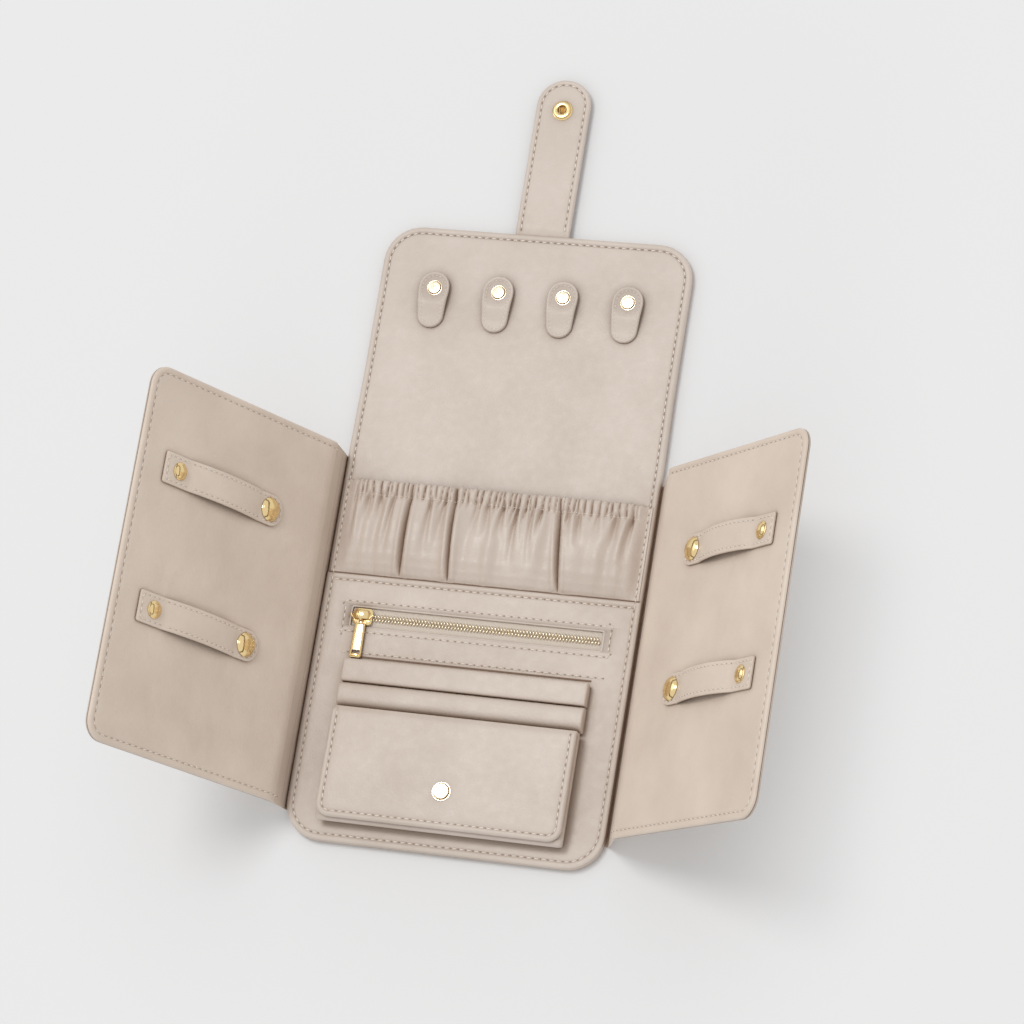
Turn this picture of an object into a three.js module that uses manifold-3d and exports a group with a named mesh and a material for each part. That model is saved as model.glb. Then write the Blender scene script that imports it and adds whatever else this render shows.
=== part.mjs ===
// Fold-out travel jewelry pouch, shown open: a centre panel, two wings, a spine and a flap with a
// closing tab.
// Millimetres, +Z up. The pouch lies open on its outer cover; +Y runs up the centre panel to the flap.
// Heights along the panels are counted from the centre panel's bottom edge and shifted at the end.
import * as THREE from 'three';
import { mergeVertices } from 'three/addons/utils/BufferGeometryUtils.js';
import Module from 'manifold-3d';

const wasm = await Module();
wasm.setup();

// Centre panel
const BASE_W = 190;
const BASE_H = 236;
const CORNER_R = 22;
const LEATHER = 1.4; // cover, lining and fold strips
const THIN = 1.3; // straps, tabs and the small flap
const GAP = 0.2; // between flat layers that lie on each other
const SIDE_GAP = 0.3; // between pieces side by side
const PANEL_T = 6; // centre panel, spine and flap, back to inner face
const INSET = 2; // stiffeners and linings stop short of the cover's edge
const SEGMENTS = 6; // facets in a panel's rounded corner

// Lower inner panel, one layer higher, that covers the gathered pocket's lower edge
const LOWER_TOP = 158;
const LOWER_STEP = 0.8;

// Zip
const ZIP_Y = 132.8;
const WINDOW_W = 151;
const WINDOW_H = 9;
const TAPE_T = 0.6;
const TEETH_W = 5;
const TEETH_T = 1.2;
const TOOTH_PITCH = 2.5;
const TOOTH_NOTCH = 0.7;
const TOOTH_LENGTH = 0.55; // as a share of the pitch, like the bevel on its end
const TOOTH_BEVEL = 0.1;
const SLIDER_X = -68.5;
const SLIDER_L = 11;
const SHIELD_T = 0.9;
const SHIELD_R = 2.5;
const ARCH_L = 7.2;
const ARCH_POST = 1.1;
const ARCH_BEAM = 1.2;
const PULL_L = 25;
const PULL_W = 7.2;
const PULL_T = 1.2;
const PULL_RIM = 1.9;
const EYE_R = 0.95; // inside the pull's eye, round the arch's beam
const EYE_WALL = 0.95;
const EYE_W = 2.4;

// Zip pocket's shallow hollow in the stiffener
const POCKET_W = 158;
const POCKET_LOW = 78;
const POCKET_HIGH = 144;
const BOARD_FLOOR = 0.8;

// Gathered elastic pocket
const GATHER_LOW = 159;
const GATHER_HIGH = 215;
const GATHER_W = BASE_W - 2 * INSET;
const GATHER_SKIN = 1.2; // thickness at the sides
const GATHER_RISE = 8.4;
const GATHER_CLEAR = 4.75; // under the cloth, from where it has risen to its mouth
const GATHER_CLEAR_FROM = 0.55; // as a share of the pocket's height
const GATHER_THIN = 0.4; // least thickness, in the creases
const CHANNEL_H = 11.6;
const MOUTH_RISE = 6.6;
const SEAM_RISE = 2.2;
const DEEP_CREASES = [-53, -25, 39];
const CREASE_W = 2.2;
const CREASE_DEPTH = 1.8;
const PUCKER_RISE = 0.55;
const PUCKERS = [[5.9, 1, 0], [10.3, 0.6, 2]]; // wavelength in mm, share of the rise, phase
const PUCKER_DRIFT = [57, 1.3]; // slow change of the first wave's phase
const PUCKER_FADE = 0.25; // share of the rise left at the lower seam
const CREASE_FADE = 0.33; // share of the height over which a crease deepens
const CHANNEL_SWELL = 1.25;
const GATHER_SIDE = 9; // how fast the cloth comes up from its sewn sides
const GATHER_COLS = 72;
// Rows from the lower seam up, closer together where the elastic channel begins
const GATHER_ROWS = [0, 0.08, 0.3, 0.55, 0.76, 0.785, 0.8, 0.95, 1];

// Ring pad, ring roll and small pouch
const BOX_W = 146;
const RING_PAD_LOW = 92.8;
const RING_PAD_HIGH = 106.3;
const RING_PAD_RISE = 8;
const RING_PAD_CROWN = 1.6;
const ROLL_LOW = 77.4;
const ROLL_HIGH = 92.4;
const ROLL_RISE = 9.2;
const ROLL_CROWN = 5;
const POUCH_LOW = 10.2;
const POUCH_HIGH = 76.6;
const POUCH_RISE = 12.2;
const POUCH_WALL = 1.4;
const POUCH_R = 2;
const MOUTH_LOW = 64;
const MOUTH_HIGH = 74.6;
const POUCH_FLAP_W = 145;
const POUCH_FLAP_LOW = 12;
const POUCH_FLAP_R = 8;
const POUCH_SNAP_Y = 33.3;
const POUCH_CAP_R = 5.1;
const POUCH_CAP_T = 1.6;

// Folded stack: height of each inner face above the centre panel's inner face when the pouch is shut
const SHUT_LEFT = 17.5;
const SHUT_RIGHT = 27.5;
const SHUT_FLAP = 35;

// Wings
const WING_W = 151;
const WING_LOW = 15;
const WING_HIGH = 230;
const WING_LINING_T = 2;
const WING_T = LEATHER + GAP + WING_LINING_T;
const WING_R = 12;
const LEFT_STRIP_ANGLE = 90;
const LEFT_WING_ANGLE = 63;
const RIGHT_STRIP_ANGLE = 73;
const RIGHT_WING_ANGLE = 48;
const FOLD_GAP = LEATHER / 2 + SIDE_GAP; // from a fold line to the panel beyond it

// Wing straps, placed by the distance from the wing's fold line
const STRAP_W = 18;
const STRAP_NEAR = 37;
const STRAP_FAR = 132;
const STRAP_HINGE = 112;
const STRAP_YS = [175, 95];
const STRAP_SNAP = 47.5;
const STRAP_RIVET = 120.5;
const STRAP_END_SLOPE = 1.25; // cut back on the hinge side, so that the lifted strap clears it
const STRAP_BOW = 4.7; // clear height under the strap's middle
const STRAP_FLAT = 8.4; // flat length on the hinge side of the snap
const STRAP_CAP_R = 6.9;
const STRAP_CAP_T = 1.8;
const RIVET_R = 5;
const RIVET_T = 1.4;

// Flap, necklace tabs and closing tab
const FLAP_W = BASE_W - 1.4; // a little narrower than the centre panel
const FLAP_TOP = 373.7;
const NECK_XS = [-59.1, -19.7, 19.7, 59.1];
const NECK_W = 18.9;
const NECK_LOW_W = 12;
const NECK_TAPER = 7;
const NECK_HINGE = 311;
const NECK_TOP = 344.9;
const NECK_CAP_R = 4.4;
const NECK_CAP_T = 1.6;
const TAB_W = 33.2;
const TAB_T = 3;
const TAB_TOP = 472.4;
const SOCKET_INSET = 19.8;
const SOCKET_R = 6.2;
const SOCKET_HOLE_R = 2.9;
const SOCKET_T = 1.2;
const TAB_CAP_T = 1.6;

// Snap studs
const STUD_R = 1.9;
const BIG_STUD_R = 2.6;
const STUD_SEGMENTS = 16;
const CAP_SEGMENTS = 20;
// Shares of radius and height along a cap's or rivet's rim and crown
const CROWN = [[1, 0], [1, 0.35], [0.86, 0.8], [0.5, 1], [0, 1]];
const STUD_PLAY = 0.4; // round a stud, in the leather and in its cap
const CLOSING_BASE_R = 5;
const CLOSING_BASE_T = 1;

// Places that follow from the sizes above
const INNER = PANEL_T;
const LOWER_FACE = INNER + LOWER_STEP;
const STRIP_MID = LEATHER / 2;
const THIN_MID = THIN / 2;
const FOLD_X = BASE_W / 2 + FOLD_GAP;
const FOLD_Y = BASE_H + FOLD_GAP;
const LEFT_STRIP = INNER + SHUT_LEFT + WING_T - 2 * STRIP_MID;
const RIGHT_STRIP = INNER + SHUT_RIGHT + WING_T - 2 * STRIP_MID;
const SPINE = INNER + SHUT_FLAP + PANEL_T - 2 * STRIP_MID;
const FLAP_FOLD_Y = FOLD_Y + SPINE;
const TAB_FOLD_Y = FLAP_TOP + TAB_T / 2 + SIDE_GAP;
const TAB_MID = INNER - TAB_T / 2;
const SOCKET_Y = TAB_TOP - SOCKET_INSET;
const WING_FACE = WING_T - STRIP_MID;
const CLOSING_STUD_Y = FOLD_Y - (SOCKET_Y - FLAP_FOLD_Y);

const leather = (color) => new THREE.MeshStandardMaterial({ color, roughness: 0.6, metalness: 0 });
const outerLeather = leather(0xcdbdab);
const innerLeather = leather(0xd2c3b4);
const boardMaterial = new THREE.MeshStandardMaterial({ color: 0x8d8379, roughness: 0.9, metalness: 0 });
const tapeMaterial = new THREE.MeshStandardMaterial({ color: 0xc9b8a6, roughness: 0.9, metalness: 0 });
const gold = new THREE.MeshStandardMaterial({ color: 0xe3c07a, roughness: 0.2, metalness: 1 });

function mesh(name, geometry, material) {
  const piece = new THREE.Mesh(geometry, material);
  piece.name = name;
  return piece;
}

// Geometry to solid and back, for joins and cuts
function solid(geometry) {
  const bare = geometry.index ? geometry.toNonIndexed() : geometry.clone();
  bare.deleteAttribute('normal');
  bare.deleteAttribute('uv');
  const merged = mergeVertices(bare, 1e-4);
  return new wasm.Manifold(new wasm.Mesh({
    numProp: 3,
    vertProperties: new Float32Array(merged.attributes.position.array),
    triVerts: new Uint32Array(merged.index.array),
  }));
}

function geometryOf(body) {
  const result = body.getMesh();
  const geometry = new THREE.BufferGeometry();
  const positions = new Float32Array(result.numVert * 3);
  for (let i = 0; i < result.numVert; i++) {
    for (let k = 0; k < 3; k++) {
      positions[i * 3 + k] = result.vertProperties[i * result.numProp + k];
    }
  }
  geometry.setAttribute('position', new THREE.BufferAttribute(positions, 3));
  geometry.setIndex(new THREE.BufferAttribute(new Uint32Array(result.triVerts), 1));
  geometry.computeVertexNormals();
  return geometry;
}

// A closed outline whose corners are rounded by the radii [low left, low right, high right, high left]
function panelShape(x0, x1, y0, y1, [ll, lr, hr, hl]) {
  const shape = new THREE.Shape();
  shape.moveTo(x0 + ll, y0);
  shape.lineTo(x1 - lr, y0);
  if (lr) shape.absarc(x1 - lr, y0 + lr, lr, -Math.PI / 2, 0, false);
  shape.lineTo(x1, y1 - hr);
  if (hr) shape.absarc(x1 - hr, y1 - hr, hr, 0, Math.PI / 2, false);
  shape.lineTo(x0 + hl, y1);
  if (hl) shape.absarc(x0 + hl, y1 - hl, hl, Math.PI / 2, Math.PI, false);
  shape.lineTo(x0, y0 + ll);
  if (ll) shape.absarc(x0 + ll, y0 + ll, ll, Math.PI, 1.5 * Math.PI, false);
  return shape;
}

function circlePath(x, y, r) {
  const path = new THREE.Path();
  path.absarc(x, y, r, 0, 2 * Math.PI, true);
  return path;
}

// A flat layer between two heights
function layer(shape, z0, z1, segments = SEGMENTS) {
  const options = { depth: z1 - z0, bevelEnabled: false, curveSegments: segments };
  return new THREE.ExtrudeGeometry(shape, options).translate(0, 0, z0);
}

function block(x0, x1, y0, y1, z0, z1) {
  const box = new THREE.BoxGeometry(x1 - x0, y1 - y0, z1 - z0);
  return box.translate((x0 + x1) / 2, (y0 + y1) / 2, (z0 + z1) / 2);
}

// An outline in the Y-Z plane, drawn out along X
function alongX(points, x0, x1) {
  const shape = new THREE.Shape(points.map(([y, z]) => new THREE.Vector2(y, z)));
  const options = { depth: x1 - x0, bevelEnabled: false };
  const geometry = new THREE.ExtrudeGeometry(shape, options);
  return geometry.rotateX(Math.PI / 2).rotateZ(Math.PI / 2).translate(x0, 0, 0);
}

// Half a circle of points about a fold line in the Y-Z plane, from an angle in degrees
function beadPoints(y, z, r, from) {
  const points = [];
  const steps = 6;
  for (let i = 0; i <= steps; i++) {
    const a = THREE.MathUtils.degToRad(from + 180 * i / steps);
    points.push([y + r * Math.cos(a), z + r * Math.sin(a)]);
  }
  return points;
}

// A turned piece about +Z from [radius, height] points that start and end on the axis
function turned(points, segments = CAP_SEGMENTS) {
  const profile = points.map(([r, z]) => new THREE.Vector2(r, z));
  return new THREE.LatheGeometry(profile, segments).rotateX(Math.PI / 2);
}

function stud(r, height) {
  return turned([[0, 0], [r, 0], [r, height - GAP], [r - GAP, height], [0, height]], STUD_SEGMENTS);
}

const crown = (r, t) => CROWN.map(([across, up]) => [r * across, t * up]);

// A low dome with a flat underside
function dome(r, t) {
  return turned([[0, 0], ...crown(r, t)]);
}

// A domed snap cap whose blind recess goes over the stud's head
function cap(r, t, recessR, recessT) {
  return turned([[0, recessT], [recessR, recessT], [recessR, 0], ...crown(r, t)]);
}

const SQUARE = [0, 0, 0, 0];
const BASE_CORNERS = [CORNER_R, CORNER_R, 0, 0];
const FLAP_CORNERS = [0, 0, CORNER_R, CORNER_R];

function makeBase() {
  const half = BASE_W / 2;
  const group = new THREE.Group();
  const cover = panelShape(-half, half, 0, BASE_H, BASE_CORNERS);
  group.add(mesh('base_cover', layer(cover, 0, LEATHER), outerLeather));

  const inner = panelShape(-half + INSET, half - INSET, INSET, BASE_H - INSET, BASE_CORNERS);
  const liningZ = PANEL_T - LEATHER;
  const board = solid(layer(inner, LEATHER + GAP, liningZ - GAP));
  const hollow = block(
    -POCKET_W / 2, POCKET_W / 2, POCKET_LOW, POCKET_HIGH, LEATHER + GAP + BOARD_FLOOR, PANEL_T);
  group.add(mesh('base_board', geometryOf(board.subtract(solid(hollow))), boardMaterial));

  // Lining with the lower panel's extra layer and the zip window through both
  const lower = panelShape(-half, half, 0, LOWER_TOP, BASE_CORNERS);
  const window = block(
    -WINDOW_W / 2, WINDOW_W / 2, ZIP_Y - WINDOW_H / 2, ZIP_Y + WINDOW_H / 2, 0, 2 * PANEL_T);
  const lining = solid(layer(cover, liningZ, INNER))
    .add(solid(layer(lower, liningZ, LOWER_FACE)))
    .subtract(solid(window));
  group.add(mesh('base_lining', geometryOf(lining), innerLeather));
  return group;
}

function makeZip() {
  const group = new THREE.Group();
  const tapeZ = PANEL_T - LEATHER;
  const tapeTop = tapeZ + TAPE_T;
  const halfW = WINDOW_W / 2 - SIDE_GAP;
  const halfH = WINDOW_H / 2 - SIDE_GAP;
  const tape = block(-halfW, halfW, ZIP_Y - halfH, ZIP_Y + halfH, tapeZ, tapeTop);
  group.add(mesh('zip_tape', tape, tapeMaterial));

  // Closed row of teeth: a bar whose two long sides are notched at the tooth pitch
  const teethZ = tapeTop + GAP;
  const row = new THREE.Shape();
  const half = TEETH_W / 2;
  const notch = TOOTH_NOTCH;
  const count = Math.floor(2 * halfW / TOOTH_PITCH) - 1;
  const start = -count * TOOTH_PITCH / 2;
  row.moveTo(start, -half);
  for (let i = 0; i < count; i++) {
    const x = start + i * TOOTH_PITCH;
    row.lineTo(x + TOOTH_PITCH * TOOTH_LENGTH, -half);
    row.lineTo(x + TOOTH_PITCH * (TOOTH_LENGTH + TOOTH_BEVEL), notch - half);
    row.lineTo(x + TOOTH_PITCH * (1 - TOOTH_BEVEL), notch - half);
    row.lineTo(x + TOOTH_PITCH, -half);
  }
  for (let i = count; i > 0; i--) {
    const x = start + i * TOOTH_PITCH;
    row.lineTo(x, half);
    row.lineTo(x - TOOTH_PITCH * TOOTH_LENGTH, half);
    row.lineTo(x - TOOTH_PITCH * (TOOTH_LENGTH + TOOTH_BEVEL), half - notch);
    row.lineTo(x - TOOTH_PITCH * (1 - TOOTH_BEVEL), half - notch);
  }
  row.lineTo(start, half);
  const teeth = layer(row, teethZ, teethZ + TEETH_T).translate(0, ZIP_Y, 0);
  group.add(mesh('zip_teeth', teeth, gold));

  // Slider: a shield over the teeth, two skirts beside them and an arch on top for the pull
  const shieldZ = Math.max(teethZ + TEETH_T, LOWER_FACE) + SIDE_GAP;
  const shieldTop = shieldZ + SHIELD_T;
  const skirtIn = half + SIDE_GAP;
  const skirtOut = halfH;
  const shieldW = WINDOW_H;
  const x0 = SLIDER_X - SLIDER_L / 2;
  const x1 = SLIDER_X + SLIDER_L / 2;
  const eyeOut = EYE_R + EYE_WALL;
  const eyeZ = shieldTop + SIDE_GAP + eyeOut;
  const beam = ARCH_BEAM / 2;
  const archHalf = ARCH_L / 2;
  const r = SHIELD_R;
  const shield = panelShape(x0, x1, ZIP_Y - shieldW / 2, ZIP_Y + shieldW / 2, [r, r, r, r]);
  let slider = solid(layer(shield, shieldZ, shieldTop, 4));
  for (const [near, far] of [[-skirtOut, -skirtIn], [skirtIn, skirtOut]]) {
    const skirt = block(
      x0 + r, x1 - r, ZIP_Y + near, ZIP_Y + far, tapeTop + GAP, shieldTop - SHIELD_T / 2);
    slider = slider.add(solid(skirt));
  }
  const archShape = panelShape(
    SLIDER_X - archHalf, SLIDER_X + archHalf, shieldTop - SHIELD_T / 2, eyeZ + beam,
    [0, 0, ARCH_POST, ARCH_POST],
  );
  archShape.holes.push(new THREE.Path(panelShape(
    SLIDER_X - archHalf + ARCH_POST, SLIDER_X + archHalf - ARCH_POST, shieldTop, eyeZ - beam, SQUARE,
  ).getPoints(1).reverse()));
  const archOptions = { depth: ARCH_BEAM, bevelEnabled: false, curveSegments: 4 };
  const arch = new THREE.ExtrudeGeometry(archShape, archOptions);
  arch.rotateX(Math.PI / 2).translate(0, ZIP_Y + beam, 0);
  slider = slider.add(solid(arch));
  group.add(mesh('zip_slider', geometryOf(slider), gold));

  // Pull: an eye round the arch's beam and a framed bar with a window
  const eye = new THREE.Shape();
  eye.absarc(0, 0, eyeOut, 0, 2 * Math.PI, false);
  eye.holes.push(circlePath(0, 0, EYE_R));
  const eyeOptions = { depth: EYE_W, bevelEnabled: false, curveSegments: 10 };
  const ring = new THREE.ExtrudeGeometry(eye, eyeOptions);
  ring.rotateX(Math.PI / 2).rotateZ(Math.PI / 2).translate(SLIDER_X - EYE_W / 2, ZIP_Y, eyeZ);
  const barZ = shieldTop + SIDE_GAP;
  const low = ZIP_Y - PULL_L;
  const high = ZIP_Y - eyeOut - PULL_RIM;
  const neck = block(
    SLIDER_X - EYE_W / 2, SLIDER_X + EYE_W / 2, high - PULL_RIM / 2, ZIP_Y - EYE_R - SIDE_GAP,
    barZ, barZ + PULL_T,
  );
  const frame = panelShape(
    SLIDER_X - PULL_W / 2, SLIDER_X + PULL_W / 2, low, high, [PULL_T, PULL_T, PULL_T, PULL_T]);
  frame.holes.push(new THREE.Path(panelShape(
    SLIDER_X - PULL_W / 2 + PULL_RIM, SLIDER_X + PULL_W / 2 - PULL_RIM,
    low + 2 * PULL_RIM, high - 2 * PULL_RIM, SQUARE,
  ).getPoints(1).reverse()));
  const pull = solid(ring).add(solid(neck)).add(solid(layer(frame, barZ, barZ + PULL_T, 3)));
  group.add(mesh('zip_pull', geometryOf(pull), gold));
  return group;
}

// How far the cloth is from the pocket's sewn sides, from 0 to 1
function awayFromSide(u) {
  return Math.sqrt(Math.min(1, (0.5 - Math.abs(u - 0.5)) * GATHER_SIDE));
}

// Rise of the gathered cloth's underside over the panel
function gatherClear(u, v) {
  const up = Math.min(1, v / GATHER_CLEAR_FROM);
  return SIDE_GAP + (GATHER_CLEAR - SIDE_GAP) * up * awayFromSide(u);
}

// Rise of its top: three deep creases and uneven puckers that fade towards the lower seam
function gatherHeight(u, v) {
  const x = (u - 0.5) * GATHER_W;
  const drift = PUCKER_DRIFT[1] * Math.sin(2 * Math.PI * x / PUCKER_DRIFT[0]);
  let pucker = 0;
  for (const [wave, share, phase] of PUCKERS) {
    pucker += share * Math.sin(2 * Math.PI * x / wave + phase + (phase ? 0 : drift));
  }
  let crease = 0;
  for (const c of DEEP_CREASES) {
    crease += Math.exp(-(((x - c - CREASE_W * (v - 0.5)) / CREASE_W) ** 2));
  }
  const channel = v > 1 - CHANNEL_H / (GATHER_HIGH - GATHER_LOW);
  const swell = Math.sin(Math.PI * Math.min(1, v * CHANNEL_SWELL) / 2);
  const rise = channel ? MOUTH_RISE : SEAM_RISE + (GATHER_RISE - SEAM_RISE) * swell;
  const depth = channel ? CREASE_DEPTH / 4 : CREASE_DEPTH * Math.min(1, v / CREASE_FADE);
  const edge = SIDE_GAP + GATHER_SKIN;
  const soft = PUCKER_RISE * pucker * (PUCKER_FADE + (1 - PUCKER_FADE) * v);
  const top = edge + (rise - edge + soft - depth * crease) * awayFromSide(u);
  return Math.max(top, gatherClear(u, v) + GATHER_THIN);
}

function makeGatheredPocket() {
  const cols = GATHER_COLS;
  const rows = GATHER_ROWS.length - 1;
  const positions = [];
  for (const side of [1, 0]) {
    for (let j = 0; j <= rows; j++) {
      for (let i = 0; i <= cols; i++) {
        const u = i / cols;
        const v = GATHER_ROWS[j];
        const z = INNER + (side ? gatherHeight(u, v) : gatherClear(u, v));
        const x = (u - 0.5) * GATHER_W;
        const y = GATHER_LOW + v * (GATHER_HIGH - GATHER_LOW);
        positions.push(x, y, z);
      }
    }
  }
  const at = (side, i, j) => side * (cols + 1) * (rows + 1) + j * (cols + 1) + i;
  const index = [];
  const quad = (a, b, c, d) => index.push(a, b, c, a, c, d);
  for (let j = 0; j < rows; j++) {
    for (let i = 0; i < cols; i++) {
      quad(at(0, i, j), at(0, i + 1, j), at(0, i + 1, j + 1), at(0, i, j + 1));
      quad(at(1, i, j), at(1, i, j + 1), at(1, i + 1, j + 1), at(1, i + 1, j));
    }
  }
  for (let i = 0; i < cols; i++) {
    quad(at(0, i + 1, 0), at(0, i, 0), at(1, i, 0), at(1, i + 1, 0));
    quad(at(0, i, rows), at(0, i + 1, rows), at(1, i + 1, rows), at(1, i, rows));
  }
  for (let j = 0; j < rows; j++) {
    quad(at(0, 0, j), at(0, 0, j + 1), at(1, 0, j + 1), at(1, 0, j));
    quad(at(0, cols, j + 1), at(0, cols, j), at(1, cols, j), at(1, cols, j + 1));
  }
  const geometry = new THREE.BufferGeometry();
  geometry.setAttribute('position', new THREE.BufferAttribute(new Float32Array(positions), 3));
  geometry.setIndex(index);
  geometry.computeVertexNormals();
  return mesh('elastic_pocket', geometry, innerLeather);
}

// A soft bar across the ring box with a crowned top and rounded ends
function ringBar(low, high, rise, crown) {
  const z0 = LOWER_FACE + GAP;
  const width = high - low;
  const points = [[low, z0], [high, z0]];
  const steps = 8;
  const shoulder = rise - crown;
  for (let i = 0; i <= steps; i++) {
    const a = Math.PI * i / steps;
    points.push([low + width / 2 + Math.cos(a) * width / 2, z0 + shoulder + Math.sin(a) * crown]);
  }
  const plan = panelShape(-BOX_W / 2, BOX_W / 2, low - 1, high + 1, SQUARE);
  const bar = solid(alongX(points, -BOX_W / 2 - 1, BOX_W / 2 + 1));
  return geometryOf(bar.intersect(solid(layer(plan, 0, 3 * PANEL_T))));
}

function makeRingBox() {
  const group = new THREE.Group();
  const pad = ringBar(RING_PAD_LOW, RING_PAD_HIGH, RING_PAD_RISE, RING_PAD_CROWN);
  group.add(mesh('ring_pad', pad, innerLeather));
  const roll = ringBar(ROLL_LOW, ROLL_HIGH, ROLL_RISE, ROLL_CROWN);
  group.add(mesh('ring_roll', roll, innerLeather));

  const z0 = LOWER_FACE + GAP;
  const z1 = z0 + POUCH_RISE;
  const half = BOX_W / 2;
  const outer = panelShape(-half, half, POUCH_LOW, POUCH_HIGH, [POUCH_R, POUCH_R, 0, 0]);
  const wall = POUCH_WALL;
  const inner = block(
    -half + wall, half - wall, POUCH_LOW + wall, MOUTH_HIGH, z0 + wall, z1 - wall);
  const mouth = block(-half + wall, half - wall, MOUTH_LOW, MOUTH_HIGH, z0 + 2 * wall, z1 + wall);
  const body = solid(layer(outer, z0, z1, 3)).subtract(solid(inner)).subtract(solid(mouth));
  group.add(mesh('pouch_body', geometryOf(body), innerLeather));

  const snap = new THREE.Group();
  snap.position.set(0, POUCH_SNAP_Y, z1 + GAP);
  const studHeight = THIN + 3 * GAP;
  snap.add(mesh('pouch_stud', stud(BIG_STUD_R, studHeight), gold));
  const flapZ = z1 + SIDE_GAP;
  const pouchCap = cap(POUCH_CAP_R, POUCH_CAP_T, BIG_STUD_R + STUD_PLAY, studHeight - THIN);
  pouchCap.translate(0, 0, THIN + SIDE_GAP);
  snap.add(mesh('pouch_cap', pouchCap, gold));
  group.add(snap);

  const halfFlap = POUCH_FLAP_W / 2;
  const flap = panelShape(
    -halfFlap, halfFlap, POUCH_FLAP_LOW, POUCH_HIGH - FOLD_GAP, [POUCH_FLAP_R, POUCH_FLAP_R, 0, 0]);
  flap.holes.push(circlePath(0, POUCH_SNAP_Y, BIG_STUD_R + STUD_PLAY));
  group.add(mesh('pouch_flap', layer(flap, flapZ, flapZ + THIN), innerLeather));
  return group;
}

// An outline in the X-Z plane, drawn out along Y to both sides
function acrossY(points, width) {
  const shape = new THREE.Shape(points.map(([x, z]) => new THREE.Vector2(x, z)));
  const geometry = new THREE.ExtrudeGeometry(shape, { depth: width, bevelEnabled: false });
  return geometry.rotateX(Math.PI / 2).translate(0, width / 2, 0);
}

// A strap seen from the side: flat at the snap, bowed from there to a rounded end on its hinge line
function strapGeometry(side) {
  const z0 = WING_FACE + GAP;
  const steps = 10;
  const start = STRAP_SNAP + STRAP_FLAT;
  const low = [[STRAP_NEAR, z0]];
  const high = [[STRAP_NEAR, z0 + THIN]];
  for (let i = 0; i <= steps; i++) {
    const t = i / steps;
    const s = start + (STRAP_HINGE - start) * t;
    const lift = (STRAP_BOW - GAP) * Math.sin(Math.PI * t) ** 0.8;
    low.push([s, z0 + lift]);
    high.push([s, z0 + lift + THIN]);
  }
  const bead = [];
  for (const a of [-60, -30, 0, 30, 60]) {
    const turn = THREE.MathUtils.degToRad(a);
    bead.push([STRAP_HINGE + THIN_MID * Math.cos(turn), z0 + THIN_MID + THIN_MID * Math.sin(turn)]);
  }
  const margin = THIN; // the side view is drawn wider than the strap and then cut to its plan
  const profile = acrossY([...low, ...bead, ...high.reverse()], STRAP_W + 2 * margin);
  const r = STRAP_W / 2;
  const plan = panelShape(STRAP_NEAR, STRAP_HINGE + THIN, -r, r, [r, 0, 0, r]);
  plan.holes.push(circlePath(STRAP_SNAP, 0, BIG_STUD_R + STUD_PLAY));
  const strap = solid(profile).intersect(solid(layer(plan, 0, z0 + STRAP_BOW + 2 * THIN)));
  const geometry = geometryOf(strap);
  return side > 0 ? geometry : geometry.rotateZ(Math.PI);
}

// side is -1 for the left wing and 1 for the right; the group's origin lies on the wing's fold line
function makeWing(prefix, side) {
  const group = new THREE.Group();
  const x0 = side > 0 ? FOLD_GAP : -WING_W;
  const x1 = side > 0 ? WING_W : -FOLD_GAP;
  const corners = side > 0 ? [0, WING_R, WING_R, 0] : [WING_R, 0, 0, WING_R];
  const outline = panelShape(x0, x1, WING_LOW, WING_HIGH, corners);
  group.add(mesh(`${prefix}_wing_cover`, layer(outline, -STRIP_MID, STRIP_MID), outerLeather));
  group.add(mesh(`${prefix}_wing_lining`, layer(outline, STRIP_MID + GAP, WING_FACE), innerLeather));

  const places = ['upper', 'lower'];
  const z0 = WING_FACE + GAP;
  for (let i = 0; i < places.length; i++) {
    const name = `${prefix}_strap_${places[i]}`;
    const row = new THREE.Group();
    row.position.y = STRAP_YS[i];
    const near = STRAP_HINGE + THIN_MID + SIDE_GAP;
    const sewn = [
      [side * near, z0], [side * STRAP_FAR, z0],
      [side * STRAP_FAR, z0 + THIN], [side * (near + STRAP_END_SLOPE), z0 + THIN],
    ];
    row.add(mesh(`${name}_end`, acrossY(sewn, STRAP_W), innerLeather));
    const rivet = dome(RIVET_R, RIVET_T).translate(side * STRAP_RIVET, 0, z0 + THIN + GAP);
    row.add(mesh(`${name}_rivet`, rivet, gold));
    const studHeight = THIN + 3 * GAP;
    const post = stud(BIG_STUD_R, studHeight).translate(side * STRAP_SNAP, 0, z0);
    row.add(mesh(`${name}_stud`, post, gold));
    row.add(mesh(name, strapGeometry(side), innerLeather));
    const head = cap(STRAP_CAP_R, STRAP_CAP_T, BIG_STUD_R + STUD_PLAY, studHeight - THIN);
    head.translate(side * STRAP_SNAP, 0, z0 + THIN + GAP);
    row.add(mesh(`${name}_cap`, head, gold));
    group.add(row);
  }
  return group;
}

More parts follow.
